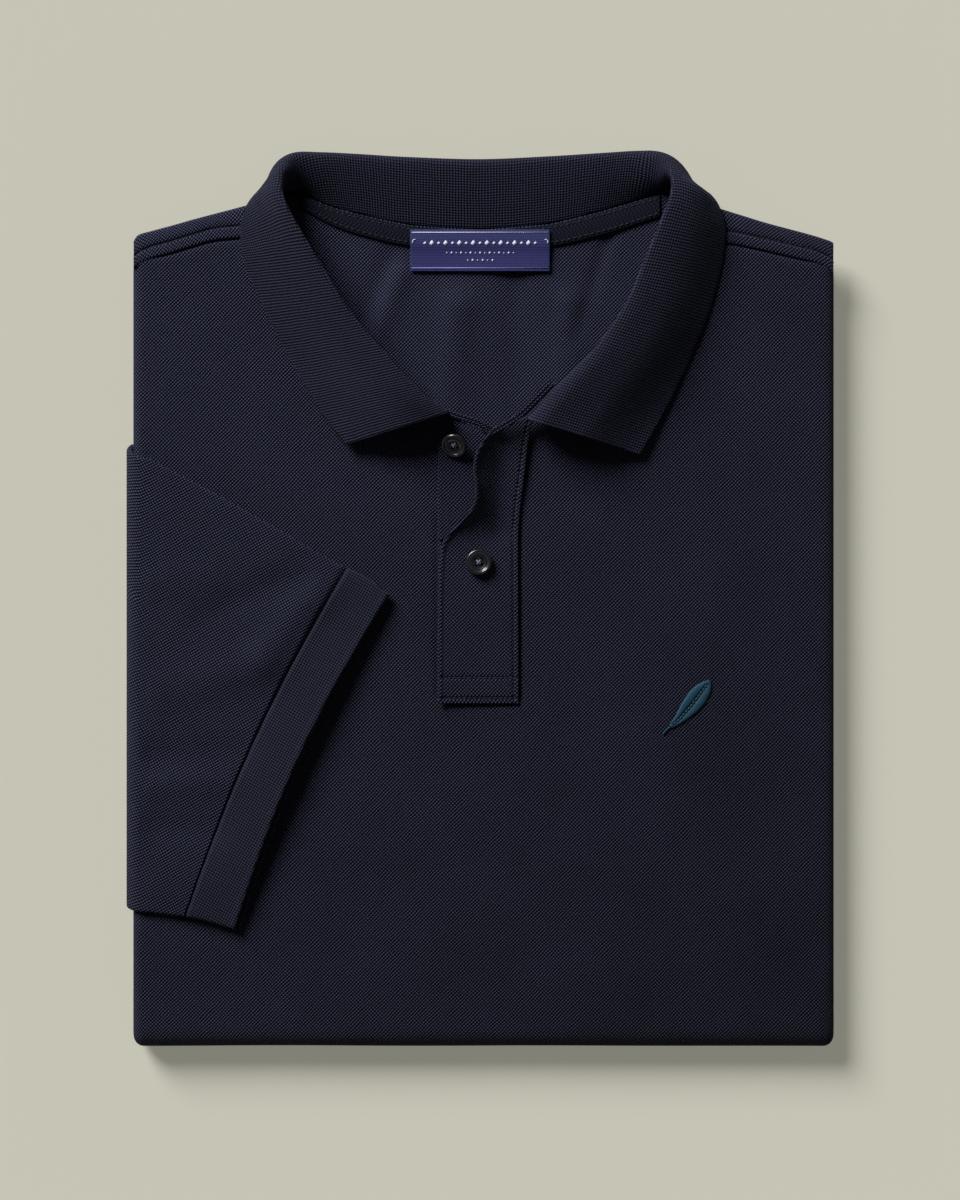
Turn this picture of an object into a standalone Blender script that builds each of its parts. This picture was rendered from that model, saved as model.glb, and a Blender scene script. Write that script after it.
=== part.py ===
"""Short-sleeved piqué polo shirt, retail-folded and lying on its back on a table.

Sizes are in millimetres and turned to metres when a mesh is made. +X is the wearer's left,
+Y runs towards the collar and +Z is up. The origin is the middle of the resting face.
"""
import math

import bmesh
import bpy
import numpy as np

MM = 0.001

LEFT_X = -167.0  # folded body, outer face of its left fold
RIGHT_X = 170.2  # outer face of its right fold
HEM_FOLD_Y = -207.0  # axis of the fold that turns the lower half under
TOP_Z = 16.4  # outer face of the front
CLOTH = 1.6  # piqué wall
GAP = 0.3  # between pieces at a seam
SIDE_ROLL = 4.2  # radius of a side fold, to the middle of the wall
SIDE_TURN = 125.0  # degrees a side fold turns through
HEM_Y = 120.0  # where the turned-up lower half ends
BACK_Z = 13.6  # inside face of the back, seen through the neck
COLLAR = 1.8  # rib collar wall
SLEEVE = 1.3  # sleeve wall, one layer
CUFF = 1.5  # rib cuff wall, one layer
BUTTON_R = 6.25
BUTTON_H = 2.6

# Shoulder folds and forward shoulder seams, a row per station from the side to the neck:
# x, y of the fold's outer face, y of the seam.
SHOULDER_LEFT = (
    (-166.2, 172.5, 158.5),
    (-164.0, 175.4, 160.7),
    (-158.0, 177.2, 163.5),
    (-148.3, 179.8, 166.2),
    (-138.5, 182.6, 169.2),
    (-128.7, 185.2, 172.0),
    (-118.0, 188.0, 173.2),
    (-108.2, 190.6, 174.2),
    (-99.2, 192.6, 177.5),
)
SHOULDER_RIGHT = (
    (169.4, 171.6, 156.5),
    (167.5, 172.6, 158.5),
    (160.8, 174.8, 161.5),
    (151.7, 177.3, 163.8),
    (137.8, 181.0, 167.0),
    (123.8, 185.3, 170.0),
    (111.1, 189.2, 172.5),
    (101.2, 192.0, 177.5),
)

# Rib collar, a row per rib line from one front end round the back to the other:
# seam x, y, z; crest of the roll x, y, z; outer edge x, y, z; heading of the fall in degrees
# from +X; share of the way the fall is tucked under.
COLLAR_ROWS = (
    (-17.5, 91.0, 19.6, -17.2, 88.6, 22.6, -63.6, 74.6, 19.4, 197, 0.0),
    (-34.0, 99.0, 17.0, -28.4, 97.9, 27.5, -74.0, 88.0, 18.0, 192, 0.0),
    (-52.0, 111.5, 14.9, -40.9, 111.0, 31.5, -84.0, 103.6, 17.8, 190, 0.0),
    (-73.0, 134.0, 14.6, -61.4, 135.2, 34.0, -98.9, 131.0, 17.7, 187, 0.0),
    (-88.5, 159.0, 14.6, -78.8, 163.0, 35.5, -112.3, 160.6, 17.7, 184, 0.0),
    (-95.5, 174.0, 14.6, -90.0, 181.8, 35.5, -114.3, 175.0, 17.8, 184, 0.0),
    (-97.0, 186.0, 14.4, -94.6, 192.0, 34.0, -113.4, 184.0, 18.2, 180, 0.0),
    (-96.0, 194.0, 13.4, -95.8, 198.6, 31.5, -109.6, 191.6, 17.7, 180, 0.08),
    (-92.0, 197.6, 12.8, -94.6, 204.8, 28.0, -104.4, 195.6, 12.6, 172, 0.12),
    (-84.0, 195.3, 12.8, -88.4, 210.2, 23.6, -94.0, 187.4, 6.6, 100, 0.82),
    (-71.0, 189.8, 12.8, -75.0, 210.8, 20.4, -83.0, 178.0, 4.0, 98, 1.0),
    (-56.2, 186.0, 12.8, -58.0, 210.2, 19.2, -62.0, 173.6, 3.0, 93, 1.0),
    (-33.6, 181.2, 12.8, -34.0, 208.8, 18.6, -36.0, 172.0, 3.0, 91, 1.0),
    (0.0, 179.0, 12.8, 0.0, 207.8, 18.3, 0.0, 171.5, 3.0, 90, 1.0),
    (33.1, 181.7, 12.8, 33.6, 209.2, 18.6, 36.0, 172.5, 3.0, 89, 1.0),
    (56.0, 187.2, 12.8, 58.0, 210.7, 19.4, 62.0, 174.2, 3.0, 86, 1.0),
    (71.0, 191.6, 12.8, 74.0, 211.4, 20.6, 83.0, 179.0, 4.0, 82, 1.0),
    (84.0, 195.3, 12.8, 85.6, 210.4, 24.0, 93.0, 187.4, 6.6, 84, 0.82),
    (93.0, 197.6, 12.8, 90.8, 205.0, 29.4, 106.0, 195.6, 12.6, 4, 0.12),
    (98.0, 194.0, 13.4, 92.0, 199.0, 33.0, 112.0, 191.6, 17.7, 0, 0.08),
    (98.8, 186.0, 14.4, 90.8, 191.0, 35.5, 115.8, 183.4, 17.8, 0, 0.0),
    (97.5, 174.0, 14.6, 86.6, 180.0, 36.7, 116.8, 174.0, 17.8, -6, 0.0),
    (91.0, 157.0, 14.6, 78.6, 160.6, 37.0, 114.0, 155.4, 17.7, -8, 0.0),
    (81.5, 137.0, 14.6, 70.4, 141.2, 36.4, 107.0, 133.0, 17.7, -12, 0.0),
    (66.0, 117.0, 14.9, 55.6, 119.4, 34.4, 96.5, 108.5, 17.7, -15, 0.0),
    (46.0, 101.0, 17.4, 38.4, 101.6, 31.0, 86.0, 87.6, 18.0, -17, 0.0),
    (24.4, 88.2, 20.6, 24.6, 85.8, 25.6, 76.4, 70.2, 18.8, -17, 0.0),
)

# Neckline of the back, a row per station: x, y of the collar seam, width of the tape below it.
BACK_NECK = (
    (-86.0, 196.0, 6.0),
    (-71.0, 189.8, 7.6),
    (-56.2, 186.0, 8.8),
    (-33.6, 181.2, 8.9),
    (0.0, 179.0, 8.9),
    (33.1, 181.7, 9.6),
    (56.0, 187.2, 10.2),
    (71.0, 191.6, 10.2),
    (86.0, 196.0, 9.6),
)

# Sleeve on the front, a row per section from the armhole side to the cuff seam:
# x, y of the upper fold; x, y of the lower fold; bow of the section; rise of each layer.
SLEEVE_ROWS = (
    (-158.0, 67.6, -158.0, -150.0, 0.0, 0.0, 0.0),
    (-149.8, 62.9, -155.5, -150.4, -0.8, 0.1, 0.2),
    (-136.0, 55.7, -153.0, -150.8, -1.6, 0.2, 0.5),
    (-121.9, 48.0, -150.6, -151.0, -2.6, 0.3, 0.9),
    (-108.0, 40.2, -148.4, -151.3, -3.4, 0.5, 1.3),
    (-94.1, 32.2, -146.2, -151.6, -4.2, 0.8, 1.8),
    (-80.0, 23.8, -144.0, -151.8, -4.8, 1.2, 2.4),
    (-64.3, 15.4, -141.9, -152.0, -5.2, 1.7, 3.2),
)
CUFF_ROWS = (
    (-63.7, 15.1, -141.3, -152.1, -5.2, 1.7, 3.2),
    (-57.0, 12.2, -133.5, -153.6, -5.6, 2.3, 3.9),
    (-50.0, 7.4, -125.6, -155.8, -6.0, 2.9, 4.6),
    (-44.0, 3.0, -118.2, -158.0, -6.4, 3.5, 5.2),
)

# Creases of the sleeve, a row each: from x, y; to x, y; height; half-width.
CREASES = (
    (-80.0, 14.0, -124.0, -30.0, 2.2, 11.0),
    (-150.0, 8.0, -122.0, -22.0, -1.1, 13.0),
    (-168.0, -50.0, -118.0, -58.0, 1.2, 9.0),
    (-166.0, -66.0, -122.0, -68.0, -1.0, 7.0),
    (-166.0, -84.0, -128.0, -88.0, 1.2, 10.0),
    (-168.0, -101.0, -132.0, -104.0, -1.0, 7.0),
    (-166.0, -122.0, -140.0, -126.0, 0.9, 10.0),
)

# Plackets, a row per section from the neck down: y, left x, right x, rise of left, of right.
OVER_ROWS = (
    (82.0, 8.0, 21.0, 4.4, 3.2),
    (76.5, 2.2, 24.2, 4.8, 2.6),
    (70.0, -1.6, 23.2, 5.0, 1.8),
    (62.0, -3.0, 21.4, 4.8, 1.2),
    (54.0, -1.9, 20.0, 4.4, 0.8),
    (46.0, -2.6, 19.0, 3.6, 0.5),
    (39.0, -7.2, 18.4, 2.8, 0.3),
    (33.0, -13.6, 18.0, 1.9, 0.2),
    (27.0, -17.8, 17.8, 1.3, 0.1),
    (20.0, -18.9, 17.8, 1.2, 0.0),
    (4.0, -19.6, 17.9, 1.2, 0.0),
    (-24.0, -19.8, 18.0, 1.1, 0.0),
    (-49.4, -19.9, 18.0, 0.9, 0.0),
)
UNDER_ROWS = (  # y, left x, right x, rise
    (87.0, -15.4, -5.0, 3.6),
    (82.6, -18.6, 4.0, 3.2),
    (74.0, -19.6, 9.0, 2.2),
    (60.0, -20.0, 6.0, 0.9),
    (47.0, -20.0, 4.6, 0.3),
    (40.0, -20.0, 0.6, 0.1),
    (34.0, -19.8, -8.6, 0.0),
    (29.0, -19.6, -14.0, 0.0),
)

# Woven label: y, middle of its height. It lies over the tape and then on the back.
LABEL_ROWS = ((177.4, 15.6), (171.0, 15.6), (166.0, 14.9), (158.0, 14.5))
LABEL_X = (-33.4, 33.2)

# Sewn motif on the chest, a plain leaf on a stem: x, y about its middle.
MOTIF = (
    (-10.5, -12.0),
    (-5.2, -10.2),
    (1.6, -9.6),
    (7.4, -5.4),
    (10.4, 1.6),
    (11.0, 9.2),
    (9.0, 12.6),
    (3.4, 10.4),
    (-2.6, 6.0),
    (-6.2, -0.6),
    (-7.2, -6.4),
    (-11.6, -10.2),
)
MOTIF_AT = (100.6, -51.4)


def unit(v):
    length = np.linalg.norm(v, axis=-1, keepdims=True)
    return v / np.maximum(length, 1e-9)


def smooth(rows, count):
    """Catmull-Rom through the rows, count points evenly spread along the path."""
    p = np.asarray(rows, float)
    p = np.vstack([2 * p[0] - p[1], p, 2 * p[-1] - p[-2]])
    fine = []
    for i in range(1, len(p) - 2):
        for t in np.linspace(0, 1, 12, endpoint=False):
            a = -p[i - 1] + 3 * p[i] - 3 * p[i + 1] + p[i + 2]
            b = 2 * p[i - 1] - 5 * p[i] + 4 * p[i + 1] - p[i + 2]
            fine.append(p[i] + 0.5 * t * (p[i + 1] - p[i - 1] + t * (b + t * a)))
    fine = np.array(fine + [p[-2]])
    run = np.concatenate([[0], np.cumsum(np.linalg.norm(np.diff(fine[:, :3], axis=0), axis=1))])
    at = np.linspace(0, run[-1], count)
    return np.stack([np.interp(at, run, fine[:, k]) for k in range(p.shape[1])], axis=1)


def colour(name, rgb, rough):
    material = bpy.data.materials.new(name)
    material.use_nodes = True
    shader = material.node_tree.nodes["Principled BSDF"]
    shader.inputs["Base Color"].default_value = (*rgb, 1)
    shader.inputs["Roughness"].default_value = rough
    return material


def solid(name, points, faces, rgb, rough=0.9):
    mesh = bpy.data.meshes.new(name)
    mesh.from_pydata([tuple(p) for p in np.asarray(points) * MM], [], faces)
    work = bmesh.new()
    work.from_mesh(mesh)
    bmesh.ops.recalc_face_normals(work, faces=work.faces)
    if work.calc_volume(signed=True) < 0:
        bmesh.ops.reverse_faces(work, faces=work.faces)
    work.to_mesh(mesh)
    work.free()
    made = bpy.data.objects.new(name, mesh)
    bpy.context.scene.collection.objects.link(made)
    made.data.materials.append(colour(name, rgb, rough))
    return made


def wall(grid, thickness):
    """Points and faces of a closed wall about a grid of points, half its thickness each side."""
    along = np.gradient(grid, axis=0)
    across = np.gradient(grid, axis=1)
    normal = unit(np.cross(along, across))
    rows, cols = grid.shape[:2]
    points = np.concatenate(
        [(grid + normal * s * thickness / 2).reshape(-1, 3) for s in (1, -1)]
    )
    back = rows * cols
    faces = []
    for i in range(rows - 1):
        for j in range(cols - 1):
            a = i * cols + j
            quad = (a, a + 1, a + cols + 1, a + cols)
            faces.append(quad)
            faces.append(tuple(back + k for k in reversed(quad)))
    rim = [j for j in range(cols)]
    rim += [i * cols + cols - 1 for i in range(1, rows)]
    rim += [(rows - 1) * cols + j for j in range(cols - 2, -1, -1)]
    rim += [i * cols for i in range(rows - 2, 0, -1)]
    for a, b in zip(rim, rim[1:] + rim[:1]):
        faces.append((b, a, back + a, back + b))
    return points, faces


def rings(loops, capped=True):
    """Points and faces of a skin over closed loops with the same number of points."""
    count = len(loops[0])
    points = np.concatenate([np.asarray(loop, float) for loop in loops])
    faces = []
    for i in range(len(loops) - 1):
        for j in range(count):
            k = (j + 1) % count
            faces.append((i * count + j, i * count + k, (i + 1) * count + k, (i + 1) * count + j))
    if capped:
        faces.append(tuple(reversed(range(count))))
        faces.append(tuple((len(loops) - 1) * count + j for j in range(count)))
    return points, faces


def prism(name, outline, low, high, rgb=(0.5, 0.5, 0.5)):
    flat = np.asarray(outline, float)
    loops = [np.column_stack([flat, np.full(len(flat), z)]) for z in (low, high)]
    return solid(name, *rings(loops), rgb)


def join(target, tool, operation):
    """Applies a Boolean and removes its tool."""
    made = target.modifiers.new(operation, "BOOLEAN")
    made.operation = operation
    made.solver = "EXACT"
    made.object = tool
    bpy.context.view_layer.update()
    graph = bpy.context.evaluated_depsgraph_get()
    mesh = bpy.data.meshes.new_from_object(target.evaluated_get(graph))
    target.modifiers.clear()
    target.data = mesh
    bpy.data.objects.remove(tool)


def swell(x, y):
    """Soft rise and fall of the front, in millimetres."""
    near = np.exp(-(((x + 75) / 60) ** 2) - ((y + 20) / 110) ** 2)
    far = np.exp(-(((x - 95) / 55) ** 2) - ((y + 90) / 80) ** 2)
    return 0.25 * far - 0.2 * near


def front_height(x, y):
    """Outer face of the front."""
    return TOP_Z + swell(x, y)


def collar_seam(rows, outwards):
    """The collar's seam moved outwards in plan, from its table."""
    line = smooth([r[:3] for r in rows], 26)
    step = unit(np.gradient(line[:, :2], axis=0))
    return line[:, :2] + outwards * np.column_stack([-step[:, 1], step[:, 0]])


def neck_cut():
    """Outline of what is missing above the front: neckline and forward shoulder seams."""
    down = collar_seam(COLLAR_ROWS[6::-1], -1.4)
    up = collar_seam(COLLAR_ROWS[:19:-1], -1.4)
    left = [(-190.0, 158.5)] + [(x, seam) for x, _, seam in smooth(SHOULDER_LEFT, 11)]
    right = [(x, seam) for x, _, seam in smooth(SHOULDER_RIGHT[::-1], 11)] + [(190.0, 156.5)]
    foot = [(-8.0, 84.4), (0.0, 81.8), (5.0, 79.0), (13.0, 80.4), (20.0, 83.0)]
    neck = [tuple(p) for p in down if 90 < p[1] < 176.5] + foot
    neck += [tuple(p) for p in up if 88 < p[1] < 176.5]
    return left + neck + right + [(190.0, 230.0), (-190.0, 230.0)]


def front_panel():
    """One cloth: the front on top, its side folds, the bottom fold and the turned-under half."""
    middle = TOP_Z / 2
    reach = middle - CLOTH / 2
    path = [(y, TOP_Z - CLOTH / 2, -1.0, 0.0) for y in np.linspace(200, HEM_FOLD_Y + 8, 14)]
    for a in np.linspace(0, 180, 11):
        s, c = math.sin(math.radians(a)), math.cos(math.radians(a))
        path.append((HEM_FOLD_Y - reach * s, middle + reach * c, -c, s))
    path += [(y, CLOTH / 2, 1.0, 0.0) for y in np.linspace(HEM_FOLD_Y + 8, HEM_Y, 3)]
    half = (RIGHT_X - LEFT_X) / 2 - CLOTH / 2 - SIDE_ROLL
    centre = (RIGHT_X + LEFT_X) / 2
    grid = []
    for y, z, inz, iny in path:
        folding = abs(iny) > 1e-6
        turn = 92.0 if folding else SIDE_TURN
        if not folding and y < HEM_FOLD_Y + 9:
            turn = 105.0
        lean = np.radians(np.linspace(turn, 0, 6))
        side = [(half + SIDE_ROLL * math.sin(a), SIDE_ROLL * (1 - math.cos(a))) for a in lean]
        row = [(centre - w, d) for w, d in side]
        row += [(centre + x, 0.0) for x in np.linspace(-half, half, 10)[1:-1]]
        row += [(centre + w, d) for w, d in reversed(side)]
        line = []
        for x, d in row:
            rise = swell(x, y) if inz < 0 and not folding and d == 0 else 0.0
            line.append((x, y + iny * d, z + inz * d + rise))
        grid.append(line)
    body = solid("front_panel", *wall(np.array(grid), CLOTH), (0.02, 0.023, 0.04))
    tool = prism("cut", neck_cut(), TOP_Z / 2, TOP_Z + 6)
    join(body, tool, "DIFFERENCE")
    return body


def back_panel():
    """The back: its inside seen through the neck, and its shoulders turned over to the front."""
    low, high = BACK_Z - CLOTH + 0.15, BACK_Z - 0.15
    edge = [(x, fold - 5.0) for x, fold, _ in SHOULDER_LEFT[1:]]
    edge += [(-94.4, 188.0), (-93.4, 192.0), (-90.0, 193.8)]
    edge += [(x, y - 1.6) for x, y, _ in BACK_NECK]
    edge += [(91.4, 193.8), (95.0, 191.6), (96.2, 188.0)]
    edge += [(x, fold - 5.0) for x, fold, _ in reversed(SHOULDER_RIGHT[1:])]
    outline = [(-163.0, 60.0)] + edge + [(166.0, 60.0)]
    plate = prism("back_panel", outline[::-1], low, high, (0.02, 0.023, 0.04))
    for rows in (SHOULDER_LEFT, SHOULDER_RIGHT):
        grid = []
        for x, fold, seam in smooth(rows, 11):
            deep = (TOP_Z - BACK_Z + CLOTH) / 2
            reach = deep - CLOTH / 2
            mid = TOP_Z - deep
            line = [(x, y, TOP_Z - CLOTH / 2) for y in np.linspace(seam + GAP, fold - deep, 3)]
            for a in np.radians(np.linspace(36, 144, 4)):
                line.append((x, fold - deep + reach * math.sin(a), mid + reach * math.cos(a)))
            line += [(x, y, BACK_Z - CLOTH / 2) for y in (fold - deep, fold - 14.0)]
            grid.append(line)
        band = solid("band", *wall(np.array(grid), CLOTH), (0.02, 0.023, 0.04))
        join(plate, band, "UNION")
    return plate


def folded_layers():
    """The hidden layers: turned-in sides, far sleeve and the inside of the lower half."""
    wide = (RIGHT_X - LEFT_X) / 2
    centre = (RIGHT_X + LEFT_X) / 2
    # y, half-width taken off, low z, high z
    sections = (
        (-211.4, 10.0, 5.4, 11.0),
        (-209.5, 8.0, 3.8, 12.6),
        (-206.0, 6.4, 2.6, 13.8),
        (-199.0, 3.2, 2.0, 14.2),
        (-150.0, 2.8, 1.95, 14.2),
        (-60.0, 2.8, 1.95, 14.2),
        (57.0, 2.8, 1.95, 14.2),
        (58.5, 2.8, 1.95, 11.65),
        (HEM_Y + 0.5, 2.8, 1.95, 11.65),
        (HEM_Y + 0.9, 2.8, 0.5, 11.65),
        (HEM_Y + 2.5, 2.8, 0.0, 11.65),
        (150.0, 2.8, 0.0, 11.65),
        (160.0, 3.2, 0.0, 11.65),
        (164.5, 4.2, 0.6, 11.2),
        (166.6, 6.5, 2.2, 9.8),
    )
    loops = []
    for y, off, low, high in sections:
        half = wide - off
        tall = high - low
        side = [(half - 2.6, 0.0), (half - 0.5, 0.12), (half, 0.26), (half - 0.9, 0.31)]
        side += [(half, 0.36), (half, 0.6), (half - 0.9, 0.65), (half, 0.7)]
        side += [(half - 0.4, 0.88), (half - 2.8, 1.0)]
        loop = [(centre + w, y, low + tall * t) for w, t in side]
        loop += [(centre - w, y, low + tall * t) for w, t in reversed(side)]
        loops.append(loop)
    body = solid("folded_layers", *rings(loops), (0.02, 0.023, 0.04))
    for z in (3.9, 7.7):
        tool = prism("slot", [(-180, 163.6), (180, 163.6), (180, 175), (-180, 175)], z, z + 0.7)
        join(body, tool, "DIFFERENCE")
    return body


def collar():
    """A straight rib strip: seam, stand, roll and fall, from one front end to the other."""
    rows = smooth(COLLAR_ROWS, 52)
    grid = []
    for row in rows:
        seam, crest, edge = row[0:3], row[3:6], row[6:9]
        aim, tuck = math.radians(row[9]), row[10]
        out = np.array([math.cos(aim), math.sin(aim), 0.0])
        up = np.array([0.0, 0.0, 1.0])
        tall = crest[2] - seam[2]
        lean = crest - seam
        a = seam + up * tall * (0.55 - 0.3 * tuck) + (lean * [1, 1, 0]) * 0.2 * tuck
        b = crest - out * (2.6 + 5.0 * tuck) + up * (0.2 - 0.8 * tuck)
        line = [bezier(seam, a, b, crest, t) for t in np.linspace(0, 1, 5)[:-1]]
        span = np.linalg.norm((edge - crest)[:2])
        c = crest + out * (3.0 + 0.16 * span * (1 - tuck) + 4.5 * tuck) - up * 0.2
        flat = edge + (crest - edge) * [0.42, 0.42, 0] + up * 3.2
        under = edge + out * (span * 0.95 + 4.0) - up * 1.6
        d = flat * (1 - tuck) + under * tuck
        line += [bezier(crest, c, d, edge, t) for t in np.linspace(0, 1, 8)]
        grid.append(line)
    return solid("collar", *wall(np.array(grid), COLLAR), (0.025, 0.028, 0.05))


def bezier(a, b, c, d, t):
    s = 1 - t
    return a * s**3 + b * 3 * s * s * t + c * 3 * s * t * t + d * t**3


def neck_tape():
    grid = []
    for x, y, w in smooth(BACK_NECK, 24):
        z = BACK_Z + GAP + 0.5
        grid.append([(x, y - 1.9 - w * t, z) for t in (0, 0.5, 1)])
    return solid("neck_tape", *wall(np.array(grid), 1.0), (0.03, 0.033, 0.06))


def label():
    grid = [[(x, y, z + 0.35) for x in np.linspace(*LABEL_X, 5)] for y, z in smooth(LABEL_ROWS, 7)]
    return solid("label", *wall(np.array(grid), 0.8), (0.06, 0.05, 0.2), 0.6)


def placket_over():
    grid = []
    for y, left, right, up_left, up_right in smooth(OVER_ROWS, 26):
        line = []
        for t in np.linspace(0, 1, 6):
            x = left + (right - left) * t
            rise = up_left * (1 - t) ** 1.3 + up_right * t
            line.append((x, y, front_height(x, y) + GAP + 0.65 + 0.15 + rise))
        grid.append(line)
    return solid("placket_over", *wall(np.array(grid), 1.3), (0.02, 0.023, 0.04))


def placket_under():
    grid = []
    for y, left, right, rise in smooth(UNDER_ROWS, 12):
        high = GAP + 0.5 + rise
        line = [(x, y, front_height(x, y) + high) for x in np.linspace(left, right, 4)]
        grid.append(line)
    return solid("placket_under", *wall(np.array(grid), 1.0), (0.02, 0.023, 0.04))


def creased(x, y):
    """Height that the sleeve's creases add."""
    total = 0.0
    for ax, ay, bx, by, tall, half in CREASES:
        span = np.array([bx - ax, by - ay])
        t = ((x - ax) * span[0] + (y - ay) * span[1]) / (span @ span)
        near = min(max(t, 0.0), 1.0)
        away = math.hypot(x - ax - span[0] * near, y - ay - span[1] * near)
        total += tall * math.exp(-((away / half) ** 2)) * (1 - 0.45 * near)
    return total


def tube_loop(upper, lower, bow, low_rise, high_rise, thick, inset, place, crease=1.0):
    """One closed loop of a flattened tube, lower layer first."""
    upper, lower = np.array(upper, float), np.array(lower, float)
    span = upper - lower
    length = np.linalg.norm(span)
    side = np.array([span[1], -span[0]]) / length
    ends = (inset / length, 1 - inset / length)
    loop = []
    steps = np.linspace(*ends, 15)
    for layer, order in ((0, steps), (1, steps[::-1])):
        for t in order:
            swell_at = math.sin(math.pi * min(max(t, 0), 1))
            at = lower + span * t + side * bow * swell_at
            low = GAP + inset + low_rise * (0.35 + 0.65 * swell_at)
            apart = 2 * thick + 0.35 + (high_rise - low_rise) * swell_at
            puff = crease * max(creased(*at), -0.8) * abs(swell_at) ** 0.5
            high = low - inset + apart - inset + max(puff, 0.0) + 0.3 * min(puff, 0)
            high = max(high, low + (0.35 if inset else 2 * thick + 0.35))
            loop.append(place(at, high if layer else low))
    return loop


def tube(name, rows, thick, place, lead=()):
    outer, inner = [], []
    for skin, inset in ((outer, 0.0), (inner, thick)):
        for turn in lead:
            first = rows[0]
            skin.append(
                tube_loop(first[0:2], first[2:4], 0, 0, 0, thick, inset, around(turn), 0.0)
            )
        for r in rows:
            skin.append(tube_loop(r[0:2], r[2:4], r[4], r[5], r[6], thick, inset, place))
    points, faces = rings(outer, capped=False)
    more, holes = rings(inner, capped=False)
    count, size = len(outer[0]), len(points)
    faces += [tuple(size + k for k in reversed(f)) for f in holes]
    for ring in (0, len(outer) - 1):
        for j in range(count):
            k = (j + 1) % count
            a, b = ring * count + j, ring * count + k
            faces.append((a, b, size + b, size + a))
    return solid(name, np.vstack([points, more]), faces, (0.022, 0.025, 0.045))


def on_front(at, height):
    return (at[0], at[1], front_height(*at) + height)


def around(turn):
    """Places a point round the left side fold, turn degrees from straight up."""
    a = math.radians(turn)
    radius = SIDE_ROLL + CLOTH / 2

    def place(at, height):
        y = at[1] + (0.062 * turn if at[1] > 0 else 0.02 * turn)
        x = LEFT_X + radius - (radius + height) * math.sin(a)
        return (x, y, TOP_Z - radius + (radius + height) * math.cos(a))

    return place


def sleeve():
    rows = [tuple(r) for r in smooth(SLEEVE_ROWS, 12)]
    return tube("sleeve_right", rows, SLEEVE, on_front, lead=(118, 100, 84, 68, 50, 32, 14))


def cuff():
    rows = [tuple(r) for r in smooth(CUFF_ROWS, 6)]
    return tube("cuff_right", rows, CUFF, on_front)


def lathe(profile, count=28):
    loops = []
    for r, z in profile:
        turn = np.linspace(0, 2 * math.pi, count, endpoint=False)
        loops.append(np.column_stack([r * np.cos(turn), r * np.sin(turn), np.full(count, z)]))
    return rings(loops)


def button(name, at, tilt, roll):
    """Four-hole shirt button with a raised rim."""
    profile = (
        (BUTTON_R - 1.6, 0.0),
        (BUTTON_R - 0.4, 0.5),
        (BUTTON_R, 1.3),
        (BUTTON_R - 0.3, 2.2),
        (BUTTON_R - 0.9, BUTTON_H),
        (BUTTON_R - 1.6, BUTTON_H - 0.2),
        (BUTTON_R - 2.1, BUTTON_H - 0.8),
        (0.6, BUTTON_H - 0.95),
    )
    made = solid(name, *lathe(profile), (0.12, 0.13, 0.2), 0.25)
    for sx in (-1, 1):
        for sy in (-1, 1):
            ring = np.linspace(0, 2 * math.pi, 10, endpoint=False)
            hole = np.column_stack([1.25 * sx + 0.75 * np.cos(ring), 1.25 * sy + 0.75 * np.sin(ring)])
            join(made, prism("hole", hole, -1.0, 4.0), "DIFFERENCE")
    turn = np.radians([tilt, roll, 0.0])
    made.rotation_euler = turn
    made.location = np.array(at) * MM
    bpy.context.view_layer.update()
    made.data.transform(made.matrix_world)
    made.matrix_world.identity()
    return made


def motif():
    outline = smooth(MOTIF + MOTIF[:1], 37)[:-1, :2] + MOTIF_AT
    top = front_height(*MOTIF_AT) + GAP + 0.15
    return prism("motif", outline, top, top + 0.6, (0.05, 0.3, 0.42))


def main():
    for old in list(bpy.data.objects):
        bpy.data.objects.remove(old)
    front_panel()
    back_panel()
    folded_layers()
    collar()
    neck_tape()
    label()
    placket_over()
    placket_under()
    sleeve()
    cuff()
    button("button_top", (-12.2, 74.4, 22.6), 20.0, -18.0)
    button("button_second", (-0.7, 18.0, 19.0), 0.0, 0.0)
    motif()


main()
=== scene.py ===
import math

import bmesh
import bpy
import numpy as np
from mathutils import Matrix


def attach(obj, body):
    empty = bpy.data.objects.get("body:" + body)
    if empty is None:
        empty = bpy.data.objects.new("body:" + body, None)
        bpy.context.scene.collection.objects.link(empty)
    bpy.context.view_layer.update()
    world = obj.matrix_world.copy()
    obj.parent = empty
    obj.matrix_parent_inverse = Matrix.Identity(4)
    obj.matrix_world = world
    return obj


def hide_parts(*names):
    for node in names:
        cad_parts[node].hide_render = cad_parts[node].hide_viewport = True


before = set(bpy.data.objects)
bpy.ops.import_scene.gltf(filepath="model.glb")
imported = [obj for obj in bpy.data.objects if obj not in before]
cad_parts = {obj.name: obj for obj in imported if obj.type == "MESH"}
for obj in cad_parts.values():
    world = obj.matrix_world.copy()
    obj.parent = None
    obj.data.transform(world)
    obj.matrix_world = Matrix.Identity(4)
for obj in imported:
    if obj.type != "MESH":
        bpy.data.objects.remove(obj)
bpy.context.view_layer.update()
mm = 0.001
print("frame loaded:", len(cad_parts), "nodes")

# sizes shared by the pieces, in millimetres

fold = {
    "leftX": -167.0,  # outer face of the left side fold
    "hemFoldY": -207.0,  # axis of the fold that turns the lower half under
    "hemEndY": 120.0,
    "topZ": 16.4,
    "backZ": 13.6,
    "cloth": 0.8,  # one layer of knit
}

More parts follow.
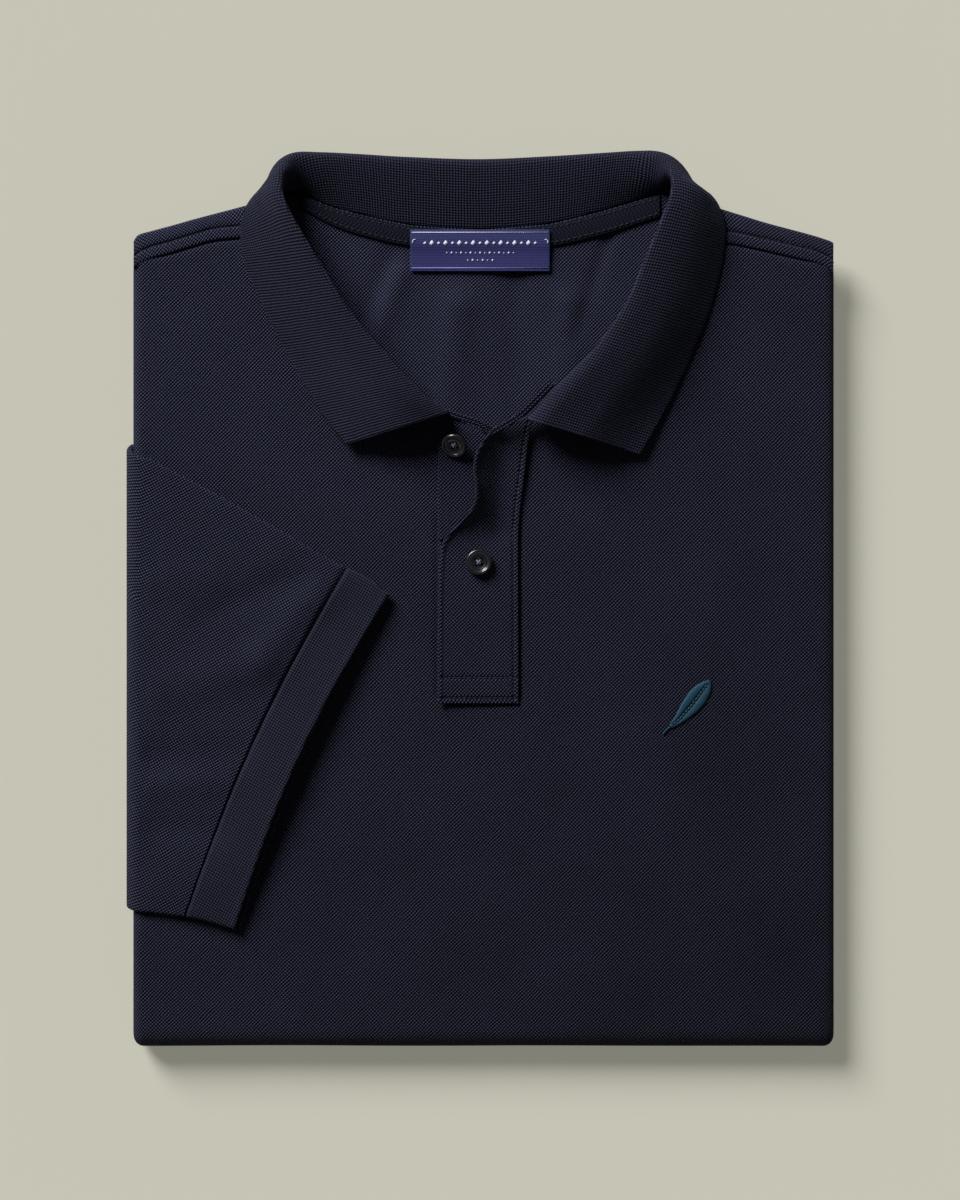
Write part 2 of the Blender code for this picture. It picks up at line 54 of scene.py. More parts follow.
# x, y of the shoulder fold, y of the forward shoulder seam
shoulderLeft = (
    (-166.2, 172.5, 158.5),
    (-164.0, 175.4, 160.7),
    (-158.0, 177.2, 163.5),
    (-148.3, 179.8, 166.2),
    (-138.5, 182.6, 169.2),
    (-128.7, 185.2, 172.0),
    (-118.0, 188.0, 173.2),
    (-108.2, 190.6, 174.2),
    (-99.2, 192.6, 177.5),
)
shoulderRight = (
    (101.2, 192.0, 177.5),
    (111.1, 189.2, 172.5),
    (123.8, 185.3, 170.0),
    (137.8, 181.0, 167.0),
    (151.7, 177.3, 163.8),
    (160.8, 174.8, 161.5),
    (167.5, 172.6, 158.5),
    (169.4, 171.6, 156.5),
)

# collar seam x, y, z; crest of the roll x, y, z; outer edge x, y, z; heading; tuck
collarRows = (
    (-17.5, 91.0, 19.6, -17.2, 88.6, 22.6, -63.6, 74.6, 19.4, 197, 0.0),
    (-34.0, 99.0, 17.0, -28.4, 97.9, 27.5, -74.0, 88.0, 18.0, 192, 0.0),
    (-52.0, 111.5, 14.9, -40.9, 111.0, 31.5, -84.0, 103.6, 17.8, 190, 0.0),
    (-73.0, 134.0, 14.6, -61.4, 135.2, 34.0, -98.9, 131.0, 17.7, 187, 0.0),
    (-88.5, 159.0, 14.6, -78.8, 163.0, 35.5, -112.3, 160.6, 17.7, 184, 0.0),
    (-95.5, 174.0, 14.6, -90.0, 181.8, 35.5, -114.3, 175.0, 17.8, 184, 0.0),
    (-97.0, 186.0, 14.4, -94.6, 192.0, 34.0, -113.4, 184.0, 18.2, 180, 0.0),
    (-96.0, 194.0, 13.4, -95.8, 198.6, 31.5, -109.6, 191.6, 17.7, 180, 0.08),
    (-92.0, 197.6, 12.8, -94.6, 204.8, 28.0, -104.4, 195.6, 12.6, 172, 0.12),
    (-84.0, 195.3, 12.8, -88.4, 210.2, 23.6, -94.0, 187.4, 6.6, 100, 0.82),
    (-71.0, 189.8, 12.8, -75.0, 210.8, 20.4, -83.0, 178.0, 4.0, 98, 1.0),
    (-56.2, 186.0, 12.8, -58.0, 210.2, 19.2, -62.0, 173.6, 3.0, 93, 1.0),
    (-33.6, 181.2, 12.8, -34.0, 208.8, 18.6, -36.0, 172.0, 3.0, 91, 1.0),
    (0.0, 179.0, 12.8, 0.0, 207.8, 18.3, 0.0, 171.5, 3.0, 90, 1.0),
    (33.1, 181.7, 12.8, 33.6, 209.2, 18.6, 36.0, 172.5, 3.0, 89, 1.0),
    (56.0, 187.2, 12.8, 58.0, 210.7, 19.4, 62.0, 174.2, 3.0, 86, 1.0),
    (71.0, 191.6, 12.8, 74.0, 211.4, 20.6, 83.0, 179.0, 4.0, 82, 1.0),
    (84.0, 195.3, 12.8, 85.6, 210.4, 24.0, 93.0, 187.4, 6.6, 84, 0.82),
    (93.0, 197.6, 12.8, 90.8, 205.0, 29.4, 106.0, 195.6, 12.6, 4, 0.12),
    (98.0, 194.0, 13.4, 92.0, 199.0, 33.0, 112.0, 191.6, 17.7, 0, 0.08),
    (98.8, 186.0, 14.4, 90.8, 191.0, 35.5, 115.8, 183.4, 17.8, 0, 0.0),
    (97.5, 174.0, 14.6, 86.6, 180.0, 36.7, 116.8, 174.0, 17.8, -6, 0.0),
    (91.0, 157.0, 14.6, 78.6, 160.6, 37.0, 114.0, 155.4, 17.7, -8, 0.0),
    (81.5, 137.0, 14.6, 70.4, 141.2, 36.4, 107.0, 133.0, 17.7, -12, 0.0),
    (66.0, 117.0, 14.9, 55.6, 119.4, 34.4, 96.5, 108.5, 17.7, -15, 0.0),
    (46.0, 101.0, 17.4, 38.4, 101.6, 31.0, 86.0, 87.6, 18.0, -17, 0.0),
    (24.4, 88.2, 20.6, 24.6, 85.8, 25.6, 76.4, 70.2, 18.8, -17, 0.0),
)

# x, y of the collar seam across the back, width of the tape
backNeck = (
    (-86.0, 196.0, 6.0),
    (-71.0, 189.8, 7.6),
    (-56.2, 186.0, 8.8),
    (-33.6, 181.2, 8.9),
    (0.0, 179.0, 8.9),
    (33.1, 181.7, 9.6),
    (56.0, 187.2, 10.2),
    (71.0, 191.6, 10.2),
    (86.0, 196.0, 9.6),
)

# upper fold x, y; lower fold x, y; bow; rise of the lower and the upper layer
sleeveRows = (
    (-158.0, 67.6, -158.0, -150.0, 0.0, 0.0, 0.0),
    (-149.8, 62.9, -155.5, -150.4, -0.8, 0.1, 0.2),
    (-136.0, 55.7, -153.0, -150.8, -1.6, 0.2, 0.5),
    (-121.9, 48.0, -150.6, -151.0, -2.6, 0.3, 0.9),
    (-108.0, 40.2, -148.4, -151.3, -3.4, 0.5, 1.3),
    (-94.1, 32.2, -146.2, -151.6, -4.2, 0.8, 1.8),
    (-80.0, 23.8, -144.0, -151.8, -4.8, 1.2, 2.4),
    (-64.3, 15.4, -141.9, -152.0, -5.2, 1.7, 3.2),
)
cuffRows = (
    (-63.7, 15.1, -141.3, -152.1, -5.2, 1.7, 3.2),
    (-57.0, 12.2, -133.5, -153.6, -5.6, 2.3, 3.9),
    (-50.0, 7.4, -125.6, -155.8, -6.0, 2.9, 4.6),
    (-44.0, 3.0, -118.2, -158.0, -6.4, 3.5, 5.2),
)

# y, left x, right x, rise of left, of right
overRows = (
    (80.0, 5.4, 26.0, 6.6, 3.6),
    (76.5, 2.2, 24.6, 8.0, 2.8),
    (70.0, -1.6, 22.6, 9.4, 1.8),
    (62.0, -3.0, 21.2, 9.6, 1.0),
    (54.0, -1.9, 20.0, 9.0, 0.5),
    (46.0, -2.6, 19.0, 7.4, 0.3),
    (39.0, -7.2, 18.4, 5.2, 0.2),
    (33.0, -13.6, 18.0, 3.2, 0.1),
    (27.0, -17.8, 17.8, 1.9, 0.1),
    (20.0, -18.9, 17.8, 1.2, 0.0),
    (4.0, -19.6, 17.9, 1.2, 0.0),
    (-24.0, -19.8, 18.0, 1.1, 0.0),
    (-49.4, -19.9, 18.0, 0.9, 0.0),
)
underRows = (
    (90.5, -20.0, -8.0, 3.0, 3.0),
    (84.6, -20.0, 3.0, 3.0, 3.0),
    (74.0, -19.6, 9.0, 2.2, 2.2),
    (60.0, -20.0, 6.0, 0.9, 0.9),
    (47.0, -20.0, 4.6, 0.3, 0.3),
    (40.0, -20.0, 0.6, 0.1, 0.1),
    (34.0, -19.8, -8.6, 0.0, 0.0),
    (29.0, -19.6, -14.0, 0.0, 0.0),
)

# the camera looks straight down at the table
view = {"lens": 100.0, "sensor": 36.0, "frameTall": 0.576, "planeZ": 0.0164, "x": -0.0001, "y": -0.0002}
cameraData = bpy.data.cameras.new("camera")
cameraData.lens = view["lens"]
cameraData.sensor_width = view["sensor"]
cameraData.sensor_fit = "AUTO"
cameraData.clip_end = 60.0


def addObject(name, data):
    made = bpy.data.objects.new(name, data)
    bpy.context.scene.collection.objects.link(made)
    return made


camera = addObject("camera", cameraData)
above = view["frameTall"] * view["lens"] / view["sensor"]
camera.location = (view["x"], view["y"], view["planeZ"] + above)
bpy.context.scene.camera = camera


def unit(v):
    return v / np.maximum(np.linalg.norm(v, axis=-1, keepdims=True), 1e-9)


def runAlong(path):  # length from the start of a path to each of its points
    return np.concatenate([[0], np.cumsum(np.linalg.norm(np.diff(path, axis=0), axis=1))])


def spread(path, run, count):  # evenly spaced points along a path
    at = np.linspace(0, run[-1], count)
    return np.stack([np.interp(at, run, path[:, k]) for k in range(path.shape[1])], axis=1)


def smoothRows(rows, count):  # a smooth line through the rows, evenly spread
    p = np.asarray(rows, float)
    p = np.vstack([2 * p[0] - p[1], p, 2 * p[-1] - p[-2]])
    fine = []
    for i in range(1, len(p) - 2):
        for t in np.linspace(0, 1, 24, endpoint=False):
            a = -p[i - 1] + 3 * p[i] - 3 * p[i + 1] + p[i + 2]
            b = 2 * p[i - 1] - 5 * p[i] + 4 * p[i + 1] - p[i + 2]
            fine.append(p[i] + 0.5 * t * (p[i + 1] - p[i - 1] + t * (b + t * a)))
    fine = np.array(fine + [p[-2]])
    return spread(fine, runAlong(fine[:, :3]), count)


def bell(away, half):
    return np.exp(-((away / half) ** 2))


def lineBell(x, y, crease):
    ax, ay, bx, by, tall, half = crease
    span = np.array([bx - ax, by - ay])
    t = ((x - ax) * span[0] + (y - ay) * span[1]) / (span @ span)
    near = np.clip(t, 0, 1)
    away = np.hypot(x - ax - span[0] * near, y - ay - span[1] * near)
    return tall * bell(away, half) * (1 - 0.45 * near)


def bezier(a, b, c, d, t):
    s = 1 - t
    return a * s**3 + b * 3 * s * s * t + c * 3 * s * t * t + d * t**3


def hermite(value, low, high):
    t = np.clip((value - low) / (high - low), 0, 1)
    return t * t * (3 - 2 * t)


def ripple(x, y, wave, seed):  # smooth unevenness between -1 and 1, the same on every run
    a = np.sin(x / wave + seed) * np.cos(y / (wave * 1.31) - 1.7 * seed)
    b = np.sin((x + y) / (wave * 0.73) + 2.3 * seed)
    c = np.cos((x * 0.6 - y) / (wave * 1.9) + 0.7 * seed)
    return (a + b + c) / 3


def gridFaces(rows, cols):  # quads between rings of points
    i, j = np.meshgrid(np.arange(rows - 1), np.arange(cols), indexing="ij")
    a = i * cols + j
    b = i * cols + (j + 1) % cols
    return np.stack([a, a + cols, b + cols, b], axis=-1).reshape(-1, 4).tolist()


def tubePart(rings, uv):  # a closed tube with a flat cap at each end
    rows, cols = rings.shape[:2]
    faces = gridFaces(rows, cols)
    faces += [list(range(cols)), [(rows - 1) * cols + j for j in reversed(range(cols))]]
    return rings.reshape(-1, 3), uv.reshape(-1, 2), faces


def measuredUv(grid):  # millimetres across and along the cloth
    across = np.linalg.norm(np.diff(grid, axis=1), axis=2)
    u = np.concatenate([np.zeros((len(grid), 1)), np.cumsum(across, axis=1)], axis=1)
    u -= u[:, -1:] / 2
    along = np.linalg.norm(np.diff(grid, axis=0), axis=2).mean(axis=1)
    v = np.concatenate([[0], np.cumsum(along)])[:, None]
    return np.stack([u, v + 0 * u], axis=-1)


def shellPart(grid, uv, thick):  # cloth of that thickness about the grid, with rounded edges
    normal = unit(np.cross(np.gradient(grid, axis=0), np.gradient(grid, axis=1)))
    sides = unit(grid[:, 0] - grid[:, 1]), unit(grid[:, -1] - grid[:, -2])
    half = thick / 2
    turns = np.radians([25, 60, 90, 120, 155])

    def ring(rows, move, scale):
        base, n = grid[rows] + move, normal[rows]
        loop = [base + n * half * scale]
        for end, face, sign in ((-1, 1, 1), (0, 0, -1)):
            over, out = n[:, end] * sign, sides[face][rows] * 0.8
            corner = [base[:, end] + scale * half * (over * math.cos(a) + out * math.sin(a)) for a in turns]
            loop.append(np.stack(corner, axis=1))
            if sign > 0:
                loop.append((base - n * half * scale)[:, ::-1])
        return np.concatenate(loop, axis=1)

    first, last = unit(grid[0] - grid[1]), unit(grid[-1] - grid[-2])
    lift = [(half * math.sin(a), math.cos(a)) for a in np.radians([80, 55, 28])]
    rings = [ring(slice(0, 1), first * m, s) for m, s in lift]
    rings += [ring(slice(None), 0.0, 1.0)]
    rings += [ring(slice(-1, None), last * m, s) for m, s in reversed(lift)]
    loops = np.concatenate(rings)
    edge = len(turns)
    rim = np.array([[[half * 0.6 * k, 0] for k in range(1, edge + 1)]])
    wide = np.concatenate([uv, uv[:, -1:] + rim, uv[:, ::-1], uv[:, :1] - rim[:, ::-1]], axis=1)
    wide = np.concatenate([wide[:1]] * len(lift) + [wide] + [wide[-1:]] * len(lift))
    rows, count = loops.shape[:2]
    cols = grid.shape[1]
    faces = gridFaces(rows, count)
    under = [count - edge - 1 - j for j in range(cols)]
    for base, flip in ((0, 1), ((rows - 1) * count, -1)):  # the two end caps
        cap = [[j, j + 1, under[j + 1], under[j]] for j in range(cols - 1)]
        cap += [list(range(cols - 1, cols + edge + 1)), [*range(count - edge - 1, count), 0]]
        faces += [[base + k for k in face][::flip] for face in cap]
    return loops.reshape(-1, 3), wide.reshape(-1, 2), faces


def addMesh(name, parts, material):
    points, uvs, faces, start = [], [], [], 0
    for some, uv, made in parts:
        points.append(some)
        uvs.append(uv)
        faces += [[start + k for k in face] for face in made]
        start += len(some)
    mesh = bpy.data.meshes.new(name)
    mesh.from_pydata((np.concatenate(points) * mm).tolist(), [], faces)
    layer = mesh.uv_layers.new(name="grain")
    corners = np.concatenate([np.asarray(face) for face in faces])
    layer.data.foreach_set("uv", np.concatenate(uvs)[corners].astype(np.float32).ravel())
    work = bmesh.new()
    work.from_mesh(mesh)
    bmesh.ops.recalc_face_normals(work, faces=work.faces)
    work.to_mesh(mesh)
    work.free()
    mesh.shade_smooth()
    mesh.materials.append(material)
    return addObject(name, mesh)


def rodPart(path, radius, sides, girth=1.0):  # a closed rod along a path
    path = np.asarray(path, float)
    step = unit(np.gradient(path, axis=0))
    side = unit(np.cross(step, np.array([0.0, 0.0, 1.0])))
    over = unit(np.cross(side, step))
    turn = np.linspace(0, 2 * math.pi, sides, endpoint=False)[None, :, None]
    ring = side[:, None] * np.cos(turn) + over[:, None] * np.sin(turn)
    around, along = np.meshgrid(np.linspace(0, girth, sides), runAlong(path))
    rings = path[:, None] + np.reshape(radius, (-1, 1, 1)) * ring
    return tubePart(rings, np.stack([around, along], axis=-1))


def threadPart(a, b, radius, arch, count=7):  # one thread from a to b, bowed upwards
    along = np.linspace(-1, 1, count)
    line = (a + b) / 2 + along[:, None] * (b - a) / 2
    line[:, 2] += arch * (1 - along**2)
    return rodPart(line, radius * np.sqrt(np.clip(1.04 - along**4, 0.05, 1)), 6)


def stitchParts(path, pitch, share, radius, sink=0.12):  # a row of stitches along a seam
    path = np.asarray(path, float)
    run = runAlong(path)
    knots = spread(path, run, max(int(run[-1] / pitch), 2) + 1) - [0, 0, sink]
    gaps = [(b - a) * (1 - share) / 2 for a, b in zip(knots, knots[1:])]
    ends = zip(knots, knots[1:], gaps)
    return [threadPart(a + gap, b - gap, radius, radius * 0.55) for a, b, gap in ends]


def finishPiece(piece, slot, *nodes):
    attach(piece, "root")
    if nodes:
        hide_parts(*nodes)
    return piece


def fromHex(code, gain=1.0):  # sRGB hex to linear RGBA
    parts = [int(code[i : i + 2], 16) / 255 for i in (1, 3, 5)]
    return tuple(gain * (c / 12.92 if c <= 0.04045 else ((c + 0.055) / 1.055) ** 2.4) for c in parts) + (1,)


def addNode(tree, kind, settings=None, *values, **named):  # one node with its settings, values and links
    made = tree.nodes.new("ShaderNode" + kind)
    if isinstance(settings, str):
        settings = {"operation": settings}
    for key, value in (settings or {}).items():
        setattr(made, key, value)
    for key, value in [*enumerate(values), *named.items()]:
        value = value.outputs[0] if isinstance(value, bpy.types.Node) else value
        if isinstance(value, bpy.types.NodeSocket):
            tree.links.new(value, made.inputs[key])
        else:
            made.inputs[key].default_value = value
    return made


def startMaterial(name):
    material = bpy.data.materials.new(name)
    material.use_nodes = True
    tree = material.node_tree
    tree.nodes.clear()
    shader = addNode(tree, "BsdfPrincipled")
    addNode(tree, "OutputMaterial", None, shader)
    return material, tree, shader


def clothGrain(tree, drift=0.0):  # the cloth's own millimetres, which may wander as knitted rows do
    grain = addNode(tree, "UVMap", {"uv_map": "grain"})
    moved = grain
    if drift:
        wander = addNode(tree, "TexNoise", Vector=grain, Scale=drift, Detail=2.0)
        shift = addNode(tree, "VectorMath", "SCALE", wander.outputs[1], Scale=0.9)
        moved = addNode(tree, "VectorMath", "ADD", grain, shift)
    return grain, addNode(tree, "SeparateXYZ", None, moved)


def waveOf(tree, value, pitch):  # rises and falls once every pitch millimetres
    turn = addNode(tree, "Math", "MULTIPLY", value, 2 * math.pi / pitch)
    return addNode(tree, "Math", "COSINE", turn)


def dressSurface(tree, shader, height, look, dyeAndPaintedFalloff=None):  # colour between the two tones, and relief
    colour = addNode(tree, "Mix", {"data_type": "RGBA"}, height)
    colour.inputs[6].default_value = fromHex(look["valley"], look.get("gain", 1.0))
    colour.inputs[7].default_value = fromHex(look["thread"], look.get("gain", 1.0))
    shade = colour.outputs[2]
    # where given, the colour is scaled by the dye clouds and by the painted light falloff
    if dyeAndPaintedFalloff:
        shade = addNode(tree, "VectorMath", "SCALE", shade, Scale=dyeAndPaintedFalloff).outputs[0]
    tree.links.new(shade, shader.inputs["Base Color"])
    if "relief" in look:
        bump = addNode(tree, "Bump", Height=height, Strength=look["depth"], Distance=look["relief"])
        tree.links.new(bump.outputs[0], shader.inputs["Normal"])
    for socket, value in look["surface"].items():
        shader.inputs[socket].default_value = value


cottonSurface = {
    "Roughness": 0.92,
    "Specular IOR Level": 0.1,
    "Sheen Weight": 0.05,
    "Sheen Roughness": 0.5,
    "Sheen Tint": fromHex("#8f93bd"),
}
piqueLook = {
    "cell": 1.75,  # mm between bumps; real piqué is nearer 1.1, drawn coarser so that it shows
    "valley": "#020205",
    "thread": "#3b3e55",
    "relief": 0.0008,  # metres, as Blender's bump takes it
    "depth": 0.8,
    "contrast": 1.7,  # of thread against valley
    "middle": 0.38,
    "surface": cottonSurface,
}


def piqueKnit(name, look):
    # combed cotton piqué: matte, a lattice of tiny raised cells with dark pits between them
    material, tree, shader = startMaterial(name)
    grain, split = clothGrain(tree, 0.16)
    across, along = (waveOf(tree, split.outputs[k], look["cell"]) for k in (0, 1))
    cells = addNode(tree, "Math", "MULTIPLY", across, along)
    fibre = addNode(tree, "TexNoise", Vector=grain, Scale=1.5, Detail=3.0)
    uneven = addNode(tree, "Math", "MULTIPLY_ADD", fibre, 1.2, -0.6)
    height = addNode(tree, "Math", "MULTIPLY_ADD", cells, look["contrast"], look["middle"])
    rough = addNode(tree, "Math", "ADD", height, uneven)
    # dye and wear vary in soft clouds; a painted light falloff makes the cloth lighter at the upper left and
    # darker towards the lower right
    cloud = addNode(tree, "TexNoise", Vector=grain, Scale=0.022, Detail=3.0)
    patchy = addNode(tree, "Math", "MULTIPLY_ADD", cloud, 0.5, -0.25)
    # painted light falloff: the colour is scaled from bright at the upper left to dark at the lower right
    place = addNode(tree, "TexCoord").outputs["Object"]
    slope = addNode(tree, "VectorMath", "DOT_PRODUCT", place, (-1.0, 1.25, 0.0))
    paintedFalloff = addNode(tree, "MapRange", None, slope.outputs["Value"], -0.42, 0.34, 0.54, 1.34)
    dyeAndPaintedFalloff = addNode(tree, "Math", "ADD", patchy, paintedFalloff)
    dressSurface(tree, shader, rough, look, dyeAndPaintedFalloff)
    return material


ribLook = {
    "rib": 1.45,  # mm from rib to rib, drawn a little coarser than it is knitted
    "loop": 1.25,  # mm from stitch to stitch along a rib
    "valley": "#0a0b11",
    "thread": "#303246",
    "relief": 0.0005,
    "depth": 0.9,
    "surface": {**cottonSurface, "Roughness": 0.9, "Sheen Weight": 0.06, "Sheen Roughness": 0.45},
}


def ribKnit(name, look):
    # flat-knit cotton rib: fine parallel cords that catch light along their crowns
    material, tree, shader = startMaterial(name)
    grain, split = clothGrain(tree, 0.1)
    cord = waveOf(tree, split.outputs[1], look["rib"])
    loop = waveOf(tree, split.outputs[0], look["loop"])
    stitch = addNode(tree, "Math", "MULTIPLY", loop, 0.3)
    height = addNode(tree, "Math", "MULTIPLY_ADD", cord, 0.45, 0.42)
    summed = addNode(tree, "Math", "ADD", height, stitch)
    fibre = addNode(tree, "TexNoise", Vector=grain, Scale=1.3, Detail=3.0)
    uneven = addNode(tree, "Math", "MULTIPLY_ADD", fibre, 1.1, -0.55)
    rough = addNode(tree, "Math", "ADD", summed, uneven)
    dressSurface(tree, shader, rough, look)
    return material


tapeLook = {
    "twill": 1.9,  # mm from float to float
    "zigzag": 2.2,  # mm from one turn of the herringbone to the next
    "valley": "#07080e",
    "thread": "#181b2a",
    "relief": 0.0003,
    "depth": 0.7,
    "surface": {"Roughness": 0.85, "Specular IOR Level": 0.1},
}


def herringboneTape(name, look):
    # woven cotton twill tape: zigzag floats, a little crisper and flatter than the knit
    material, tree, shader = startMaterial(name)
    split = clothGrain(tree)[1]
    zig = addNode(tree, "Math", "PINGPONG", split.outputs[0], look["zigzag"])
    slant = addNode(tree, "Math", "ADD", split.outputs[1], zig)
    twill = waveOf(tree, slant, look["twill"])
    height = addNode(tree, "Math", "MULTIPLY_ADD", twill, 0.5, 0.5)
    dressSurface(tree, shader, height, look)
    return material


labelLook = {
    "pick": 1.3,  # mm between picks, coarser than they are woven so that they show
    "valley": "#1d2050",
    "thread": "#34356b",
    "relief": 0.00015,
    "depth": 0.4,
    "surface": {"Roughness": 0.55, "Specular IOR Level": 0.35},
}


def damaskLabel(name, look):
    # woven polyester satin: smooth violet-blue floats with a soft silky shine
    material, tree, shader = startMaterial(name)
    grain, split = clothGrain(tree)
    pick = waveOf(tree, split.outputs[1], look["pick"])
    speck = addNode(tree, "TexNoise", Vector=grain, Scale=1.1, Detail=2.0)
    height = addNode(tree, "Math", "MULTIPLY_ADD", pick, 0.2, speck)
    dressSurface(tree, shader, height, look)
    return material


def sewingThread(name, dark, light, roughness=0.6, twist=0.7):  # twist in mm
    # spun thread: twisted plies show as slanting light and dark bands along each stitch
    material, tree, shader = startMaterial(name)
    around, along = clothGrain(tree)[1].outputs[:2]
    slant = addNode(tree, "Math", "MULTIPLY_ADD", along, 1 / twist, around)
    ply = waveOf(tree, slant, 1.0)
    height = addNode(tree, "Math", "MULTIPLY_ADD", ply, 0.5, 0.5)
    surface = {"Roughness": roughness, "Specular IOR Level": 0.3}
    dressSurface(tree, shader, height, {"valley": dark, "thread": light, "surface": surface})
    return material


resinLook = {
    "valley": "#07080c",
    "thread": "#181a22",
    "surface": {"Roughness": 0.28, "IOR": 1.55, "Coat Weight": 0.35, "Coat Roughness": 0.08},
}


def polyesterButton(name, look):
    # cast and tumbled polyester resin: smoky navy, faint pearly cloud, wet-looking polish
    material, tree, shader = startMaterial(name)
    place = addNode(tree, "TexCoord").outputs["Object"]
    cloud = addNode(tree, "TexNoise", Vector=place, Scale=260.0, Detail=3.0, Distortion=1.2)
    dressSurface(tree, shader, cloud, look)
    return material


pique = piqueKnit("pique_knit_cotton", piqueLook)
piqueInside = piqueKnit("pique_knit_cotton_inside", dict(piqueLook, relief=0.00028, gain=0.95))
collarRib = ribKnit("rib_knit_collar", ribLook)
cuffRib = ribKnit("rib_knit_cuff", dict(ribLook, rib=1.3, relief=0.0004, thread="#2e3042"))
tapeWeave = herringboneTape("herringbone_cotton_tape", tapeLook)
labelWeave = damaskLabel("damask_woven_label", labelLook)
navyThread = sewingThread("navy_polyester_thread", "#05060a", "#20222e")
paleThread = sewingThread("silver_polyester_thread", "#8f93ad", "#e6e8f4", 0.5)
violetThread = sewingThread("violet_polyester_thread", "#4a4a86", "#7f80bd", 0.5)
greyThread = sewingThread("grey_polyester_thread", "#3c3f55", "#9a9db4", 0.5)
tealThread = sewingThread("teal_rayon_thread", "#0a2433", "#1b4a60", 0.5, 0.9)
buttonResin = polyesterButton("polyester_button_resin", resinLook)
print("materials made:", len(bpy.data.materials))
# front: the body's front on top, its side folds, the bottom fold and the turned-under half

frontSize = {
    "centre": 1.6,
    "half": 163.6,  # flat width on one side of the centre
    "roll": 4.6,  # radius of a side fold, to the middle of the cloth
    "reach": 7.8,  # radius of the bottom fold
    "middle": 8.2,  # height of the bottom fold's axis
    "hem": 20.0,
    "ply": 0.45,  # half the way between the hem's two layers
    "columns": 146,
    "between": ((-200, -25.5), (-17.2, 13.2), (21.2, 200)),  # plain columns beside the placket's edges
    "close": ((-25.0, -17.6), (13.6, 21.0)),  # closer columns along them
    "closePitch": 0.8,
    "edgeColumns": 9,
    "rows": 168,
    "neckGap": 1.4,  # from the collar's seam
    "neckFoot": ((-8.0, 84.4), (0.0, 81.8), (5.0, 79.0), (13.0, 80.4), (20.0, 83.0)),
}


def seamOf(rows, low, high):  # a stretch of the collar's seam, moved outwards in plan
    line = smoothRows([r[:3] for r in rows], 26)[:, :2]
    step = unit(np.gradient(line, axis=0))
    line = line - frontSize["neckGap"] * np.stack([-step[:, 1], step[:, 0]], axis=1)
    return line[(line[:, 1] > low) & (line[:, 1] < high)]


def neckEdge():  # forward shoulder seams and neckline, from left to right
    left, right = (smoothRows(rows, 14)[:, [0, 2]] for rows in (shoulderLeft, shoulderRight))
    down = seamOf(collarRows[6::-1], 90, 176.5)
    up = seamOf(collarRows[:19:-1], 88, 176.5)
    return np.concatenate([left, down, frontSize["neckFoot"], up, right])


def swell(x, y):
    chest = 0.25 * np.exp(-(((x - 95) / 55) ** 2) - ((y + 90) / 80) ** 2)
    return chest - 0.2 * np.exp(-(((x + 75) / 60) ** 2) - ((y + 20) / 110) ** 2)


def frontTop(x, y):
    return fold["topZ"] + swell(x, y)


# soft creases pressed into the front: from x, y to x, y; height; half-width
frontCreases = (
    (24.0, 52.0, 70.0, 44.0, -0.35, 9.0),
    (22.0, -52.0, -22.0, -52.6, 0.4, 3.2),
    (-60.0, 70.0, -95.0, 40.0, 0.22, 12.0),
    (120.0, 150.0, 95.0, 60.0, 0.2, 16.0),
    (150.0, -150.0, 90.0, -178.0, -0.22, 14.0),
    (-40.0, -120.0, 30.0, -160.0, 0.18, 22.0),
    (160.0, 60.0, 150.0, -60.0, 0.25, 12.0),
    (-150.0, -176.0, -100.0, -190.0, -0.25, 9.0),
)


def frontRelief(x, y, edge):
    soft = 0.1 * ripple(x, y, 31.0, 1.0) + 0.05 * ripple(x, y, 13.0, 4.0)
    for crease in frontCreases:
        soft = soft + lineBell(x, y, crease)
    seam = np.interp(x, edge[:, 0], edge[:, 1])
    shoulder = np.abs(x) > 97
    soft -= np.where(shoulder, 1.6 * bell(seam - y, 1.0), 0.25 * bell(seam - y, 2.5))
    soft += np.where(shoulder, 0.22 * bell(seam - y - 3.4, 1.8), 0)
    besides = np.minimum(np.abs(x + 20.6), np.abs(x - 18.8))
    dent = bell(besides, 1.5) * hermite(y, -51.0, -46.0) * hermite(-y, -44.0, -34.0)
    dent = np.maximum(dent, bell(y + 50.2, 1.3) * (x > -20) * (x < 18.2))
    return soft - 0.75 * dent


